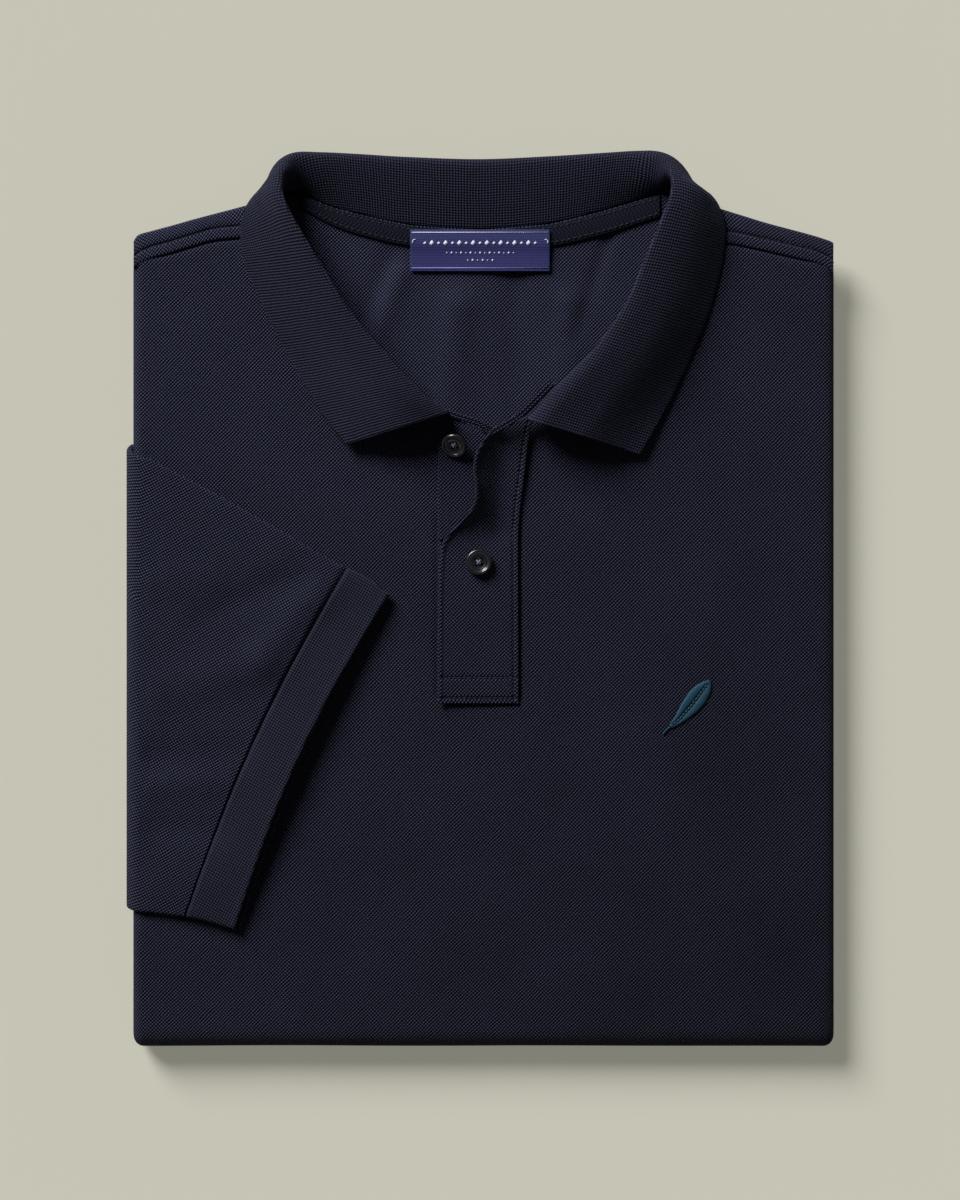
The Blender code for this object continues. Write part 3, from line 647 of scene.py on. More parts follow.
def makeFront():
    s = frontSize
    edge = neckEdge()
    lean = np.linspace(1, 0, s["edgeColumns"])
    plain = np.linspace(-s["half"], s["half"], s["columns"] + 2)[1:-1]
    beside = [plain[(plain > low) & (plain < high)] for low, high in s["between"]]
    close = [np.arange(low, high, s["closePitch"]) for low, high in s["close"]]
    flat = np.concatenate([beside[0], close[0], beside[1], close[1], beside[2]])
    share = np.concatenate([lean, np.zeros(len(flat)), lean[::-1]])
    edges = np.full(s["edgeColumns"], s["half"])
    flat = np.concatenate([-edges, flat, edges])
    sign = np.sign(flat)
    reachX = s["centre"] + flat + sign * s["roll"] * np.sin(np.minimum(share, 0.72) * math.pi / 1.44)
    top = np.interp(reachX, edge[:, 0], edge[:, 1])
    low = fold["hemFoldY"]
    t = np.concatenate([[0, 0.0016, 0.0036], np.linspace(0.0065, 1, s["rows"] - 3)])[:, None]
    # stretches of cloth in order: y, z, which way its inside faces in z and in y, tighter by
    fall = [(top + (low - top) * t, s["middle"] + s["reach"], -1.0, 0.0, 0.0)]
    for a in np.linspace(0, math.pi, 15)[1:-1]:  # the bottom fold
        at = np.full((1, len(flat)), low - s["reach"] * math.sin(a))
        fall.append((at, s["middle"] + s["reach"] * math.cos(a), -math.cos(a), math.sin(a), 0.0))
    floorZ = s["middle"] - s["reach"]
    fall.append((np.linspace(low, fold["hemEndY"], 66)[:, None] + 0 * flat, floorZ, 1.0, 0.0, 0.0))
    for a in np.radians(np.linspace(30, 180, 6)):  # the hem, turned up inside
        at = np.full((1, len(flat)), fold["hemEndY"] + s["ply"] * math.sin(a))
        tight = s["ply"] * (1 - math.cos(a))
        fall.append((at, floorZ + tight, 1.0, 0.0, tight))
    inside = np.linspace(fold["hemEndY"], fold["hemEndY"] - s["hem"], 9)[1:, None] + 0 * flat
    fall.append((inside, floorZ + 2 * s["ply"], 1.0, 0.0, 2 * s["ply"]))
    grid = []
    for part, (atY, atZ, inZ, inY, tight) in enumerate(fall):
        opened = hermite(np.abs(atY - low), 2.0, 26.0) if abs(inY) < 1e-6 else 0.0
        a = share * np.radians(92 + 33 * opened)
        x = s["centre"] + flat + sign * (s["roll"] - tight) * np.sin(a)
        d = (s["roll"] - tight) * (1 - np.cos(a))
        rise = 0.0
        if part == 0:
            taper = hermite(s["half"] - np.abs(flat), 0.0, 14.0) * (1 - hermite(-atY, 196.0, 207.0))
            rise = (swell(x, atY) + frontRelief(x, atY, edge)) * taper
        folded = 0.25 * ripple(x, atZ * 4, 26.0, 2.0) * (abs(inY) > 0.3)
        z = atZ + inZ * d + rise
        grid.append(np.stack([x + 0 * atY, atY + inY * d + folded, z + 0 * atY], axis=-1))
    grid = np.concatenate(grid)
    length = np.linalg.norm(np.diff(grid[:, len(flat) // 2], axis=0), axis=1)
    v = np.concatenate([[0], np.cumsum(length)])[:, None] + 0 * flat
    v[: s["rows"]] = v[s["rows"] - 1, 0] + low - grid[: s["rows"], :, 1]
    u = flat + sign * s["roll"] * share * 2.18 + 0 * v
    uv = np.stack([u, v], axis=-1)
    return addMesh("front", [shellPart(grid, uv, fold["cloth"])], pique)


front = makeFront()
finishPiece(front, "pique_front", "front_panel")
print("front made:", len(front.data.polygons), "faces")

# back: its inside seen through the neck, and the shoulders turned over to the front

backCreases = (
    (17.0, 154.0, 17.0, 84.0, -1.4, 8.0),  # the soft trough down the middle
    (-11.0, 140.0, -14.0, 92.0, 2.8, 9.0),
    (43.0, 142.0, 42.0, 100.0, 2.4, 8.0),
    (62.0, 176.0, 46.0, 126.0, -1.3, 3.5),
    (-44.0, 164.0, -58.0, 132.0, -1.2, 5.0),
    (-38.0, 156.0, -50.0, 126.0, 1.6, 5.0),
)


def makeBack():
    across = np.linspace(-163, 166, 168)
    rim = [(x, f - 5) for x, f, _ in shoulderLeft[1:]] + [(-94.4, 188), (-93.4, 192), (-90, 193.8)]
    rim += [(x, y - 1.6) for x, y, _ in backNeck] + [(91.4, 193.8), (95, 191.6), (96.2, 188)]
    rim = np.array(rim + [(x, f - 5) for x, f, _ in shoulderRight[1:]], float)
    top = np.interp(across, rim[:, 0], rim[:, 1])
    t = np.linspace(0, 1, 84)[:, None]
    y = top + (60.0 - top) * t
    x = across + 0 * y
    z = fold["backZ"] - 0.55 + 0.16 * ripple(x, y, 19.0, 3.0)
    for crease in backCreases:
        z = z + lineBell(x, y, crease)
    grid = np.stack([x, y, z], axis=-1)
    uv = np.stack([x, -y], axis=-1)
    parts = [shellPart(grid, uv, fold["cloth"])]
    for rows in (shoulderLeft, shoulderRight):
        line = smoothRows(rows, 60)
        x, top, seam = line[:, 0], line[:, 1], line[:, 2]
        path = []
        for up in (0.35, 0.9, 1.6, 2.6, 3.7, 4.7, 5.2, 5.6, 6.0, 6.6, 7.6, 9.0):
            rise = 1.1 * hermite(up, 0.2, 1.1) * (1 - hermite(up, 5.1, 5.9)) - 0.35 * bell(up - 5.7, 0.45)
            rise += 0.75 * hermite(up, 5.9, 7.4)
            share = np.minimum(up, (top - seam - 2.4) * up / 9.0)
            path.append((seam + share, fold["topZ"] - 1.3 + rise))
        for a in np.radians([25, 50, 75, 100, 125, 150, 172]):
            lift = 2.0 * (1 + math.cos(a)) - 0.3 * (1 - math.sin(a)) * (a < 1)
            path.append((top - 2.3 + 1.9 * math.sin(a), fold["topZ"] - 4.4 + lift))
        path += [(top - 5, fold["topZ"] - 4.42), (top - 14, fold["topZ"] - 4.5)]
        band = np.array([[x, y, z + 0 * x] for y, z in path]).transpose(0, 2, 1)
        parts.append(shellPart(band, measuredUv(band), fold["cloth"]))
    return addMesh("back", parts, piqueInside)


back = makeBack()
finishPiece(back, "pique_back", "back_panel")
print("back made:", len(back.data.polygons), "faces")

# hidden layers: turned-in sides, the far sleeve and the inside of the lower half

layerRows = (  # low z, high z, half width, y from, y to
    (2.0, 5.4, 165.2, -204.0, 164.4),
    (5.8, 8.4, 164.2, -203.0, 165.8),
    (8.8, 11.4, 165.6, -204.0, 163.6),
    (11.9, 14.0, 164.6, -203.0, 56.0),
)


def makeLayers():
    parts = []
    centre = frontSize["centre"]
    for index, (low, high, half, start, end) in enumerate(layerRows):
        radius = (high - low) / 2
        loops = []
        for y in np.linspace(start, end, 120):
            wander = 0.6 * math.sin(y / 23.0 + 1.9 * index)
            close = np.clip((min(y - start, end - y)) / radius, 0.02, 1)
            tall = radius * math.sqrt(1 - (1 - close) ** 2)
            turn = np.radians(np.linspace(-90, 90, 9))
            wide = half + wander - radius + tall * np.cos(turn)
            rise = tall * np.sin(turn)
            points = list(zip(wide, (low + high) / 2 + rise))
            right = [(centre + w, y, z) for w, z in points]
            loops.append(right + [(centre - w, y, z) for w, z in reversed(points)])
        rings = np.array(loops)
        u = rings[..., 0] + rings[..., 2]
        parts.append(tubePart(rings, np.stack([u, rings[..., 1]], axis=-1)))
    return addMesh("hidden_layers", parts, piqueInside)


layers = makeLayers()
finishPiece(layers, "pique_hidden", "folded_layers")
print("hidden layers made:", len(layers.data.polygons), "faces")

# collar: one rib strip from the seam up over the roll and down to its outer edge


def collarRoll(rows, across):
    seam, crest, edge = rows[:, None, 0:3], rows[:, None, 3:6], rows[:, None, 6:9]
    aim = np.radians(rows[:, 9])
    tuck = rows[:, None, 10:11]
    out = np.stack([np.cos(aim), np.sin(aim), 0 * aim], axis=-1)[:, None]
    up = np.array([0.0, 0.0, 1.0])
    tall = crest[..., 2:] - seam[..., 2:]
    lean = (crest - seam) * [1, 1, 0]
    span = np.linalg.norm(((edge - crest) * [1, 1, 0]), axis=-1, keepdims=True)
    a = seam + up * tall * (0.55 - 0.3 * tuck) + lean * 0.2 * tuck
    b = crest - out * (2.6 + 5 * tuck) + up * (0.2 - 0.8 * tuck)
    c = crest + out * (3 + 0.16 * span * (1 - tuck) + 4.5 * tuck) - up * 0.2
    flat = edge + (crest - edge) * [0.42, 0.42, 0] + up * 3.2
    under = edge + out * (0.95 * span + 4) - up * 1.6
    d = flat * (1 - tuck) + under * tuck
    rise = np.linspace(0, 1, across // 3)[None, :, None]
    fall = np.linspace(0, 1, across - across // 3 + 1)[None, 1:, None]
    return np.concatenate([bezier(seam, a, b, crest, rise), bezier(crest, c, d, edge, fall)], axis=1)


collarShape = {
    "thick": 1.6,
    "rings": 420,
    "across": 38,
    "liftLeft": 9.5,  # how far each front edge stands off the chest
    "liftRight": 8.0,
    "belly": 4.6,  # rounding of the right leaf
    "hollow": 1.8,  # dip of the left leaf
}


def makeCollar():
    s = collarShape
    rows = smoothRows(collarRows, s["rings"])
    grid = collarRoll(rows, s["across"])
    t = np.linspace(0, 1, grid.shape[1])[None, :]
    way = np.linspace(0, 1, len(rows))[:, None]
    wave = np.sin(way * 47) * 0.22 + np.sin(way * 83 + 1) * 0.14
    grid[..., 2] += wave * hermite(t, 0.75, 1.0) * np.clip(rows[:, None, 8] - 14, 0, 1)
    lift = bell(way, 0.1) * s["liftLeft"] + bell(1 - way, 0.12) * s["liftRight"]
    grid[..., 2] += lift * hermite(t, 0.12, 0.42) * (1 - 0.85 * hermite(t, 0.66, 1.0))
    leafy = np.clip(rows[:, None, 8] - 16, 0, 1)
    belly = np.sin(math.pi * np.clip((t - 0.33) / 0.67, 0, 1) ** 1.6)
    grid[..., 2] += s["belly"] * hermite(way, 0.62, 0.7) * (1 - bell(1 - way, 0.1)) * belly * leafy
    grid[..., 2] -= s["hollow"] * (1 - hermite(way, 0.3, 0.4)) * bell(t - 0.63, 0.13) * leafy
    grid[..., 2] += 0.22 * ripple(grid[..., 0], grid[..., 1], 15.0, 6.0) * hermite(t, 0.5, 0.7)
    return addMesh("rib_collar", [shellPart(grid, measuredUv(grid), s["thick"])], collarRib)


collar = makeCollar()
finishPiece(collar, "rib_collar", "collar")
print("collar made:", len(collar.data.polygons), "faces")

# neck tape and label, on the inside of the back


tapeSize = {"below": 1.9, "z": 14.4, "thick": 0.8, "stitchZ": 15.0, "pitch": 2.9, "lower": 1.3, "upper": 1.2}


def makeTape():
    s = tapeSize
    x, y, w = smoothRows(backNeck, 170).T
    t = np.linspace(0, 1, 9)
    z = s["z"] + 0.25 * np.sin(math.pi * t) + 0 * x[:, None]
    grid = np.stack([x[:, None] + 0 * t, (y - s["below"])[:, None] - w[:, None] * t, z], axis=-1)
    lower = np.stack([x, y - s["below"] - w + s["lower"], 0 * x + s["stitchZ"]], axis=-1)
    upper = np.stack([x, y - s["below"] - s["upper"], 0 * x + s["stitchZ"]], axis=-1)
    parts = stitchParts(lower, s["pitch"], 0.72, 0.3) + stitchParts(upper, s["pitch"], 0.72, 0.26, 0.2)
    tape = addMesh("herringbone_tape", [shellPart(grid, measuredUv(grid), s["thick"])], tapeWeave)
    return tape, addMesh("neck_tape_stitches", parts, navyThread)


tape, tapeStitches = makeTape()
finishPiece(tape, "neck_tape", "neck_tape")
finishPiece(tapeStitches, "neck_tape")

# y and z of the label from its top edge down
labelRows = ((177.4, 15.6), (171.0, 15.6), (166.0, 14.9), (158.0, 14.5))
labelSize = {"left": -33.4, "right": 33.2, "thick": 0.5, "lift": 0.35}
# rows of plain woven marks: y, height, from x to x, how many
labelMarks = ((171.1, 3.0, -26.5, 26.5, 17), (166.5, 1.4, -16.0, 16.0, 15), (163.0, 1.4, -6.0, 6.0, 6))


def labelTop(y):
    rows = np.array(labelRows[::-1])
    return np.interp(y, rows[:, 0], rows[:, 1]) + labelSize["lift"] + labelSize["thick"] / 2


def patchPart(corners, thick):  # a small flat patch of satin thread on the label
    rings = np.array([[(x, y, float(labelTop(y)) + thick * k) for x, y in corners] for k in (0, 1)])
    return tubePart(rings, rings[..., :2])


def barPart(wide, low, high):  # a woven line across the label
    return patchPart([(wide, low), (wide, high), (-wide, high), (-wide, low)], 0.12)


def makeLabel():
    rows = smoothRows(labelRows, 40)
    x = np.linspace(labelSize["left"], labelSize["right"], 70)
    y = rows[:, :1] + 0 * x
    z = rows[:, 1:2] + labelSize["lift"] + 0.12 * np.sin(x / 11.0 + 0.6) * hermite(-y, -170.0, -158.0)
    grid = np.stack([x + 0 * y, y, z], axis=-1)
    label = addMesh("woven_label", [shellPart(grid, measuredUv(grid), labelSize["thick"])], labelWeave)
    marks = []
    for y, tall, start, end, count in labelMarks:
        for k, x in enumerate(np.linspace(start, end, count)):
            wide = tall * (0.42 if k % 2 else 0.3)
            high = tall / 2 * (1.0 if k % 2 else 0.55)
            marks.append(patchPart([(x + wide, y), (x, y + high), (x - wide, y), (x, y - high)], 0.16))
    wide = labelSize["right"] - 0.4
    marks.append(barPart(wide, 176.1, 176.5))
    for side in (-1, 1):
        a = np.array([side * 32.4, 172.6, 16.3])
        marks.append(threadPart(a, a - [1.5 * side, -0.3, 0.0], 0.26, 0.12))
        marks.append(threadPart(a, a - [0.0, 1.7, 0.0], 0.26, 0.12))
    silver = addMesh("label_marks", marks, paleThread)
    return label, silver, addMesh("label_line", [barPart(wide, 159.0, 159.6)], violetThread)


label, labelSilver, labelViolet = makeLabel()
finishPiece(label, "woven_label", "label")
finishPiece(labelSilver, "woven_label")
finishPiece(labelViolet, "woven_label")
print("tape and label made")

# placket: the upper strip curls up at the neck, the lower one shows under it


plackets = {
    "over": {"rings": 190, "across": 56, "lift": 1.1, "bead": 0.7, "slant": 9.0, "curl": 2.4},
    "under": {"rings": 70, "across": 26, "lift": 0.8, "bead": 0.15, "slant": -6.0, "curl": 1},
    "box": (-37.4, -47.2),  # y of the stitches across its foot
}


def strip(rows, look):
    line = smoothRows(rows, look["rings"])
    y, left, right, upLeft, upRight = (line[:, k : k + 1] for k in range(5))
    t = np.linspace(0, 1, look["across"])[None, :]
    x = left + (right - left) * t
    y = y + look["slant"] * t * hermite(y, 56.0, 82.0)
    rise = upLeft * (1 - t) ** look["curl"] + upRight * t
    wide = right - left
    rim = look["bead"] * bell(t * wide - 0.8, 0.9)
    groove = -0.8 * bell((1 - t) * wide - 2.1, 0.5) - 0.35 * bell(t * wide - 1.9, 0.45) * (y < 24)
    soft = 0.12 * ripple(x, y, 11.0, 5.0)
    return np.stack([x, y, frontTop(x, y) + look["lift"] + rise + rim + groove + soft], axis=-1)


def makePlacket():
    over = strip(overRows, plackets["over"])
    away = hermite(over[..., 1], 22.0, 34.0) * (1 - hermite(over[..., 1], 62.0, 78.0))
    over[..., 2] -= 1.6 * away * bell(over[..., 0] - 8.0, 5.5)  # the hollow beside the curl
    over[..., 2] -= 0.9 * sum(bell(over[..., 1] - y, 0.5) for y in plackets["box"])
    under = strip(underRows, plackets["under"])
    parts = [shellPart(grid, grid[..., :2] * [1, -1], thick) for grid, thick in ((over, 1.1), (under, 0.9))]
    return addMesh("upper_placket", parts[:1], pique), addMesh("lower_placket", parts[1:], pique), over


placketOver, placketUnder, overGrid = makePlacket()
finishPiece(placketOver, "pique_placket", "placket_over")
finishPiece(placketUnder, "pique_placket", "placket_under")


placketStitch = {"inside": 2.1, "pitch": 2.4, "share": 0.7, "radius": 0.24, "top": 78.0, "leftX": -18.2}


def makePlacketStitches():
    s = placketStitch
    sewn = s["pitch"], s["share"]
    x = overGrid[:, -1, 0] - s["inside"]
    z = [np.interp(at, row[:, 0], row[:, 2]) + 0.55 for at, row in zip(x, overGrid)]
    right = np.stack([x, overGrid[:, 0, 1], z], axis=-1)
    right = right[(right[:, 1] < s["top"]) & (right[:, 1] > min(plackets["box"]))]
    left = [(s["leftX"], y, frontTop(s["leftX"], y) + 2.6) for y in np.linspace(20, -47, 20)]
    parts = stitchParts(right, *sewn, s["radius"]) + stitchParts(left, *sewn, 0.22, 0.3)
    for y in plackets["box"]:
        line = [(x, y, frontTop(x, y) + 1.85) for x in np.linspace(-18.4, 16.0, 12)]
        parts += stitchParts(line, *sewn, s["radius"], 0.1)
    return addMesh("placket_stitches", parts, navyThread)


placketStitches = makePlacketStitches()
finishPiece(placketStitches, "pique_placket")

# neckline binding: a doubled ridge that runs from the placket's corner into the collar's seam

bindings = (
    ((-17.4, 90.6, 21.4), (-12.6, 88.4, 21.6), (-6.0, 86.4, 21.2), (0.0, 84.3, 20.6), (5.4, 81.2, 20.0)),
    (
        (4.0, 78.8, 24.6),
        (8.6, 81.6, 24.8),
        (15.4, 85.6, 25.2),
        (21.0, 89.8, 26.4),
        (28.0, 96.8, 28.6),
        (35.0, 103.8, 30.6),
    ),
)


def makeBindings():
    parts = []
    for line in bindings:
        path = smoothRows(line, 70)
        step = unit(np.gradient(path, axis=0))
        side = unit(np.cross(step, np.array([0, 0, 1.0])))
        for shift, radius in ((-0.75, 0.85), (0.75, 0.8)):
            size = radius * np.sqrt(np.clip(1.05 - np.linspace(-1, 1, 70) ** 8, 0.05, 1))
            parts.append(rodPart(path + side * shift, size, 12, 5.0))
    return addMesh("neck_binding", parts, pique)


binding = makeBindings()
finishPiece(binding, "pique_placket")
print("placket made")

# sleeve and cuff: a flattened tube that wraps the left side fold

# from x, y to x, y; height; half-width
sleeveCreases = (
    (-68, 14, -104, -26, 3.8, 9),
    (-104, -30, -152, -43, 3.6, 11),
    (-86, 13, -134, -10, -2.6, 7),
    (-168, 8, -130, 12, 1.6, 8),
    (-166, -76, -116, -73, -2.6, 7),
    (-166, -90, -122, -88, 2.0, 6),
    (-166, -110, -126, -110, -2.8, 7),
    (-170, -146, -136, -142, 3.2, 14),
)
tubeLook = {
    "flat": 62,  # points across each layer
    "bend": 7,  # and round each fold
    "sleeve": 1.3,  # room for each layer
    "cuff": 1.5,
    "rib": 1.2,
    "sleeveGrain": -16,  # degrees
    "cuffGrain": -30,
    "round": 5.0,  # radius of the side fold that the sleeve wraps
    "wrap": (118, 7, 16),  # degrees round that fold: from, to, and how many rings
}


def creased(x, y):
    return sum(lineBell(x, y, crease) for crease in sleeveCreases)


def onFront(x, y, height):
    return np.stack([x, y, frontTop(x, y) + height], axis=-1)


def aroundFold(turn):  # places points round the left side fold, turn degrees from straight up
    a = math.radians(turn)
    radius = tubeLook["round"]

    def place(y, height):
        y = y + np.where(y > 0, 0.062 * turn, 0.02 * turn)
        away = fold["leftX"] + radius - (radius + height) * math.sin(a)
        return np.stack([away, y, fold["topZ"] - radius + (radius + height) * math.cos(a)], axis=-1)

    return place


def tubeRing(row, thick, inset, crease):  # x, y and height of one loop of a flattened tube
    upper, lower, bow, lowRise, highRise = np.array(row[0:2]), np.array(row[2:4]), *row[4:7]
    span = upper - lower
    length = np.linalg.norm(span)
    side = np.array([span[1], -span[0]]) / length
    room = 2 * thick + 0.35 - 2 * inset
    bend = room / 2
    reach = length - inset - bend
    flat = np.linspace(inset + bend, reach, tubeLook["flat"])
    curve = np.radians(np.linspace(0, 180, tubeLook["bend"] + 2)[1:-1])
    turned = bend * np.sin(curve)
    along = np.concatenate([flat, reach + turned, flat[::-1], inset + bend - turned])
    climb = np.concatenate([0 * flat, (1 - np.cos(curve)) / 2, 0 * flat + 1, (1 + np.cos(curve)) / 2])
    arch = np.sin(math.pi * np.clip(along / length, 0, 1))
    x = lower[0] + span[0] * along / length + side[0] * bow * arch
    y = lower[1] + span[1] * along / length + side[1] * bow * arch
    low = 0.3 + inset + lowRise * (0.35 + 0.65 * arch)
    puff = crease * np.maximum(creased(x, y), -2.2) * np.minimum(arch * 2.6, 1)
    high = low + room + (highRise - lowRise) * arch + np.maximum(puff, 0) + 0.8 * np.minimum(puff, 0)
    return x, y, low + (high - low) * climb, climb


def tubeWall(rows, thick, cloth, relief, lead=(), edge=0.0, grain=0.0):
    skins, plan = [], []
    for inset in (0.0, cloth):
        rings = []
        for turn in lead:
            x, y, height, climb = tubeRing([*rows[0][:4], 0, 0, 0], thick, inset, 0.0)
            rings.append(aroundFold(turn)(y, height))
            plan.append(np.stack([x - 4 - 0.12 * turn, y], axis=-1))
        for i, row in enumerate(rows):
            x, y, height, climb = tubeRing(row, thick, inset, 1.0)
            dx, dy, dz = relief(x, y, climb, i / (len(rows) - 1))
            rings.append(onFront(x + dx, y + dy, height + dz))
            plan.append(np.stack([x, y], axis=-1))
        skins.append(np.array(rings))
    outer, inner = skins
    rows, cols = outer.shape[:2]
    middle = (outer[-1] + inner[-1]) / 2
    step = unit(outer[-1] - outer[-2])
    rim = [
        middle + (outer[-1] - middle) * math.cos(a) + step * edge * math.sin(a)
        for a in np.radians([45, 90, 135])
    ]
    start = (outer[0] + inner[0]) / 2 - unit(outer[1] - outer[0]) * 0.3
    loops = np.concatenate([outer, np.array(rim), inner[::-1], start[None]])
    first, second = np.array(plan[:rows]), np.array(plan[rows:])
    flat = np.concatenate([first, np.repeat(first[-1:], 3, axis=0), second[::-1], second[:1]])
    c, s = math.cos(grain), math.sin(grain)
    uv = np.stack([flat[..., 0] * c + flat[..., 1] * s, flat[..., 1] * c - flat[..., 0] * s], axis=-1)
    faces = gridFaces(len(loops), cols)
    far = (len(loops) - 1) * cols
    faces += [[far + j, j, (j + 1) % cols, far + (j + 1) % cols] for j in range(cols)]
    return loops.reshape(-1, 3), uv.reshape(-1, 2), faces


def sleeveRelief(x, y, climb, way):  # small soft unevenness, and a dip at the cuff's seam
    soft = 0.16 * ripple(x, y, 12.0, 7.0) + 0.1 * ripple(x, y, 6.5, 2.0)
    soft = soft * hermite(way, 0.0, 0.15) - 1.0 * hermite(way, 0.98, 1.0)
    return 0, 0, soft * hermite(climb, 0.3, 0.9)


def cuffRelief(x, y, climb, way):  # the lower layer reaches further than the upper one
    peek = 2.6 * (1 - climb) * hermite(-y, 35.0, 110.0) * way
    soft = 0.12 * ripple(x, y, 9.0, 7.0) + 0.2 * bell(way - 0.95, 0.05)
    soft = soft - 0.9 * (1 - hermite(way, 0.0, 0.06))
    return peek * 0.9, -peek * 0.25, soft * hermite(climb, 0.3, 0.9)


def makeSleeve():
    rows = smoothRows(sleeveRows, 120)
    lead = np.linspace(*tubeLook["wrap"])
    grain = math.radians(tubeLook["sleeveGrain"])
    part = tubeWall(rows, tubeLook["sleeve"], fold["cloth"], sleeveRelief, lead, 0.3, grain)
    return addMesh("sleeve", [part], pique)


def makeCuff():
    rows = smoothRows(cuffRows, 44)
    grain = math.radians(tubeLook["cuffGrain"])
    part = tubeWall(rows, tubeLook["cuff"], tubeLook["rib"], cuffRelief, (), 0.5, grain)
    return addMesh("cuff", [part], cuffRib)


sleeve = makeSleeve()
finishPiece(sleeve, "pique_sleeve", "sleeve_right")
cuff = makeCuff()
finishPiece(cuff, "rib_cuff", "cuff_right")
print("sleeve and cuff made:", len(sleeve.data.polygons) + len(cuff.data.polygons), "faces")

# buttons: turned resin with a raised rim and four holes, sewn on with pale thread

buttonLook = {
    "holeAt": 1.25,
    "hole": 0.8,
    # radius and height from the flat of the back, round the rim, to the flat of the dish
    "profile": (
        (4.4, 0.0), (5.5, 0.35), (6.1, 0.9), (6.25, 1.4), (6.15, 1.95), (5.85, 2.4),
        (5.45, 2.6), (5.0, 2.55), (4.65, 2.3), (4.4, 1.95), (4.1, 1.8),
        (3.8, 1.9), (3.5, 1.9), (3.2, 1.7), (2.4, 1.65),
    ),
    "places": {  # middle of the back, and tilt in degrees
        "button_top": ((-12.2, 74.4, 22.2), (26.0, -22.0, 14.0)),
        "button_second": ((-0.7, 18.0, 19.0), (0.0, 0.0, 8.0)),
    },
}


def addTurned(name, profile, count):  # a turned shape about the Z axis
    turn = np.linspace(0, 2 * math.pi, count, endpoint=False)
    rings = np.array([[(r * math.cos(a), r * math.sin(a), z) for a in turn] for r, z in profile])
    return addMesh(name, [tubePart(rings, rings[..., :2])], buttonResin)


def makeButton(name, at, tilt):
    look = buttonLook
    made = addTurned(name + "_resin", look["profile"], 72)
    holes = []
    for sx in (-1, 1):
        for sy in (-1, 1):
            tool = addTurned("hole", ((look["hole"], -1.0), (look["hole"], 4.0)), 20)
            tool.location = (sx * look["holeAt"] * mm, sy * look["holeAt"] * mm, 0)
            cut = made.modifiers.new("hole", "BOOLEAN")
            cut.object, cut.operation, cut.solver = tool, "DIFFERENCE", "EXACT"
            holes.append(tool)
    bpy.context.view_layer.update()
    graph = bpy.context.evaluated_depsgraph_get()
    solid = bpy.data.meshes.new_from_object(made.evaluated_get(graph))
    made.modifiers.clear()
    made.data = solid
    for tool in holes:
        bpy.data.objects.remove(tool)
    solid.shade_smooth()
    solid.set_sharp_from_angle(angle=math.radians(42))
    made.rotation_euler = np.radians(tilt)
    made.location = np.array(at) * mm
    bpy.context.view_layer.update()
    place = made.matrix_world.copy()
    solid.transform(place)
    made.matrix_world.identity()
    strands = []
    for sign in (-1, 1):  # two crossed pairs of strands, from hole to hole
        for shift in (-0.2, 0.2):
            a = np.array([-1.2 - shift, sign * (-1.2 + shift), 1.35])
            strands.append(threadPart(a, a * [-1, -1, 1], 0.19, 0.5 + 0.1 * sign))
    threads = addMesh(name + "_thread", strands, greyThread)
    threads.data.transform(place)
    finishPiece(made, "button", name)
    finishPiece(threads, "button")


for name, place in buttonLook["places"].items():
    makeButton(name, *place)
print("buttons made")

# chest motif: a plain leaf in satin stitches

leaf = {
    "at": (100.6, -51.4),
    # points along the midrib, and how far the leaf reaches to its left and right
    "rib": (
        (-9.4, -9.6, 1.0, 1.0),
        (-5.4, -6.2, 3.0, 2.6),
        (-1.8, -2.2, 4.4, 4.2),
        (1.8, 2.2, 4.6, 4.6),
        (5.0, 6.4, 3.6, 3.8),
        (7.6, 9.8, 2.0, 2.2),
        (9.2, 12.2, 0.5, 0.5),
    ),
    "pitch": 0.62,
    "stalk": ((-13.0, -13.2), (-11.4, -11.2), (-9.4, -9.6)),
}


def makeMotif():
    rows = smoothRows(leaf["rib"], 46)
    mid, way = rows[:, :2], unit(np.gradient(rows[:, :2], axis=0))
    normal = np.stack([-way[:, 1], way[:, 0]], axis=1)
    x0, y0 = leaf["at"]
    base = float(frontTop(x0, y0)) + 0.32
    parts = []

    def lift(p, z):
        return np.array([p[0] + x0, p[1] + y0, base + z])

    for i in range(len(rows)):
        for sign, reach in ((1, rows[i, 2]), (-1, rows[i, 3])):
            tip = mid[i] + normal[i] * sign * reach + way[i] * reach * 0.75
            root = mid[i] + normal[i] * sign * 0.35
            parts.append(threadPart(lift(root, 0.0), lift(tip, 0.0), 0.36, 0.18 + 0.05 * reach, 9))
    spine = np.array([lift(p, 0.45) for p in mid])
    parts += stitchParts(spine, 1.9, 0.95, 0.34, 0.0)
    stalk = np.array([lift(p, 0.1) for p in smoothRows([(*p, 0.0) for p in leaf["stalk"]], 12)[:, :2]])
    parts += stitchParts(stalk, 1.4, 1.0, 0.4, 0.0)
    return addMesh("leaf_motif", parts, tealThread)


motif = makeMotif()
finishPiece(motif, "embroidery", "motif")

# topstitching on the shoulders

shoulderStitch = {
    "left": (
        (-164, 166.9), (-158.1, 168.9), (-148.3, 171.8), (-138.5, 174.8),
        (-131.1, 177), (-123.8, 177.9), (-114, 178.9),
    ),
    "right": ((121.5, 174.5), (133, 173.6), (144.5, 171.8), (153.6, 169.9), (162.9, 166.7)),
}


def makeShoulderStitches():
    parts = []
    for line in shoulderStitch.values():
        path = smoothRows([(x, y, fold["topZ"] - 0.02) for x, y in line], 60)
        parts += stitchParts(path, 2.5, 0.72, 0.24, 0.1)
    return addMesh("shoulder_stitches", parts, navyThread)


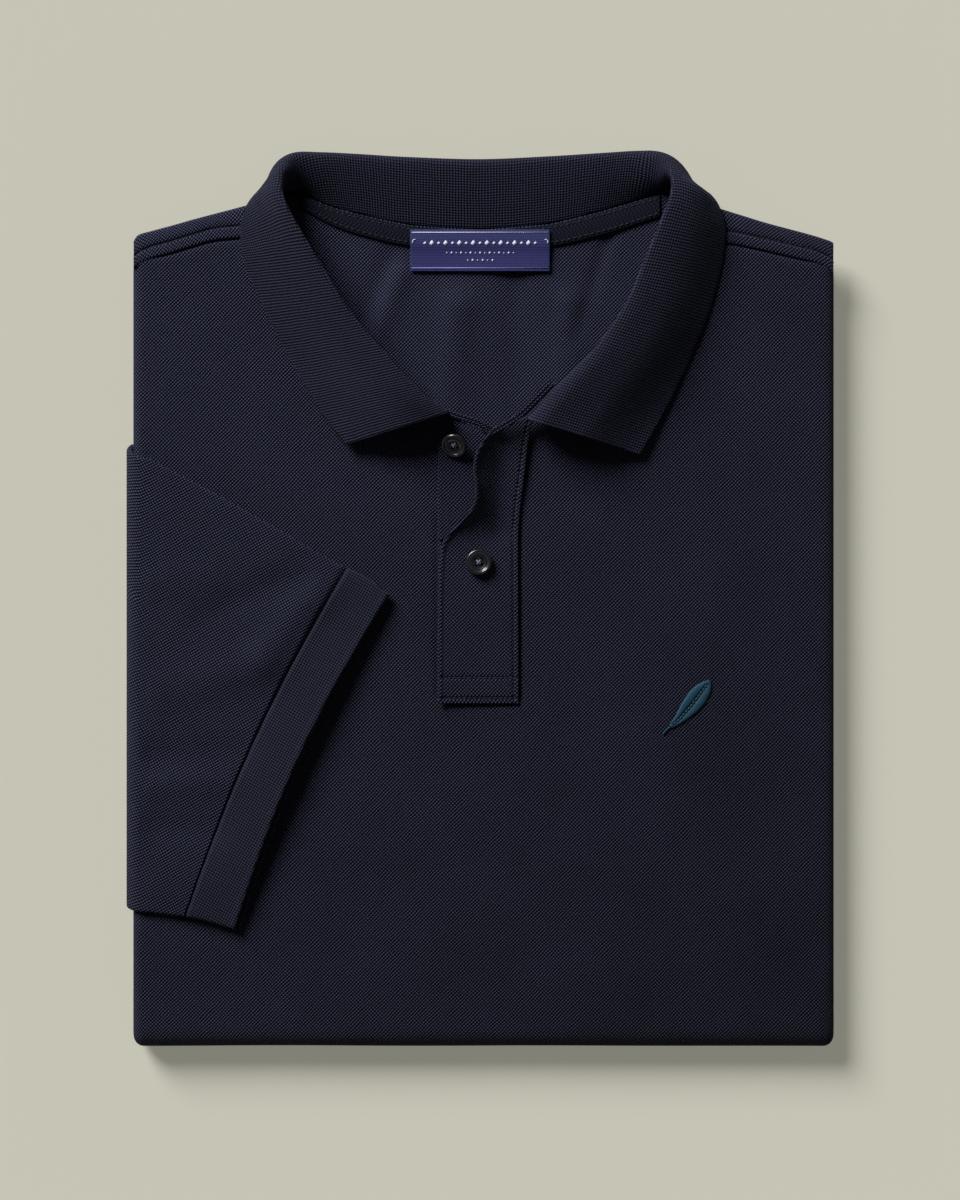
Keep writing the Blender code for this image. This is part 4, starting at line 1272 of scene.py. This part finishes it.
shoulderStitches = makeShoulderStitches()
finishPiece(shoulderStitches, "pique_back")
print("motif and shoulder stitches made")

# table, light and surroundings

table = {
    "half": 30.0,  # metres, so that it reaches past every view
    "surface": {
        "Base Color": fromHex("#a6a498"),
        "Emission Color": fromHex("#fffdea"),
        "Emission Strength": 0.2,  # a faint painted glow that lifts the shadows on the board
        "Roughness": 0.95,
        "Specular IOR Level": 0.05,
    },
}


def paintedBoard(name):
    # painted board: pale warm grey, no gloss, with a faint glow of painted light that lifts the shadows on
    # it
    material, _, shader = startMaterial(name)
    for socket, value in table["surface"].items():
        shader.inputs[socket].default_value = value
    return material


def makeTable():
    half = table["half"]
    corners = [(x * half, y * half, 0) for x, y in ((-1, -1), (1, -1), (1, 1), (-1, 1))]
    mesh = bpy.data.meshes.new("table")
    mesh.from_pydata(corners, [], [(0, 1, 2, 3)])
    mesh.materials.append(paintedBoard("matte_painted_board"))
    addObject("table", mesh)


makeTable()

light = {
    "sun": 5.5,
    "angle": 27.0,  # a large soft window
    "elevation": 30.0,
    "from": 127.0,  # degrees anticlockwise from +X, so from the upper left
    "sky": "#f4f3ee",
    "horizon": 0.62,
    "overhead": 0.07,
    "fade": (0.15, 0.3),  # the band where one turns into the other
}


def makeLight():
    sunData = bpy.data.lights.new("window", "SUN")
    sunData.energy = light["sun"]
    sunData.angle = math.radians(light["angle"])
    sun = addObject("window", sunData)
    sun.rotation_euler = (math.radians(90 - light["elevation"]), 0, math.radians(light["from"] + 90))
    world = bpy.data.worlds.new("room")
    world.use_nodes = True
    tree = world.node_tree
    sky = tree.nodes["Background"]
    sky.inputs["Color"].default_value = fromHex(light["sky"])
    way = addNode(tree, "TexCoord").outputs["Generated"]
    up = addNode(tree, "SeparateXYZ", None, way).outputs[2]
    fade = addNode(tree, "MapRange", None, up, *light["fade"], light["horizon"], light["overhead"])
    tree.links.new(fade.outputs[0], sky.inputs["Strength"])
    bpy.context.scene.world = world


makeLight()
bpy.context.scene.view_settings.view_transform = "Standard"
bpy.context.scene.view_settings.look = "None"
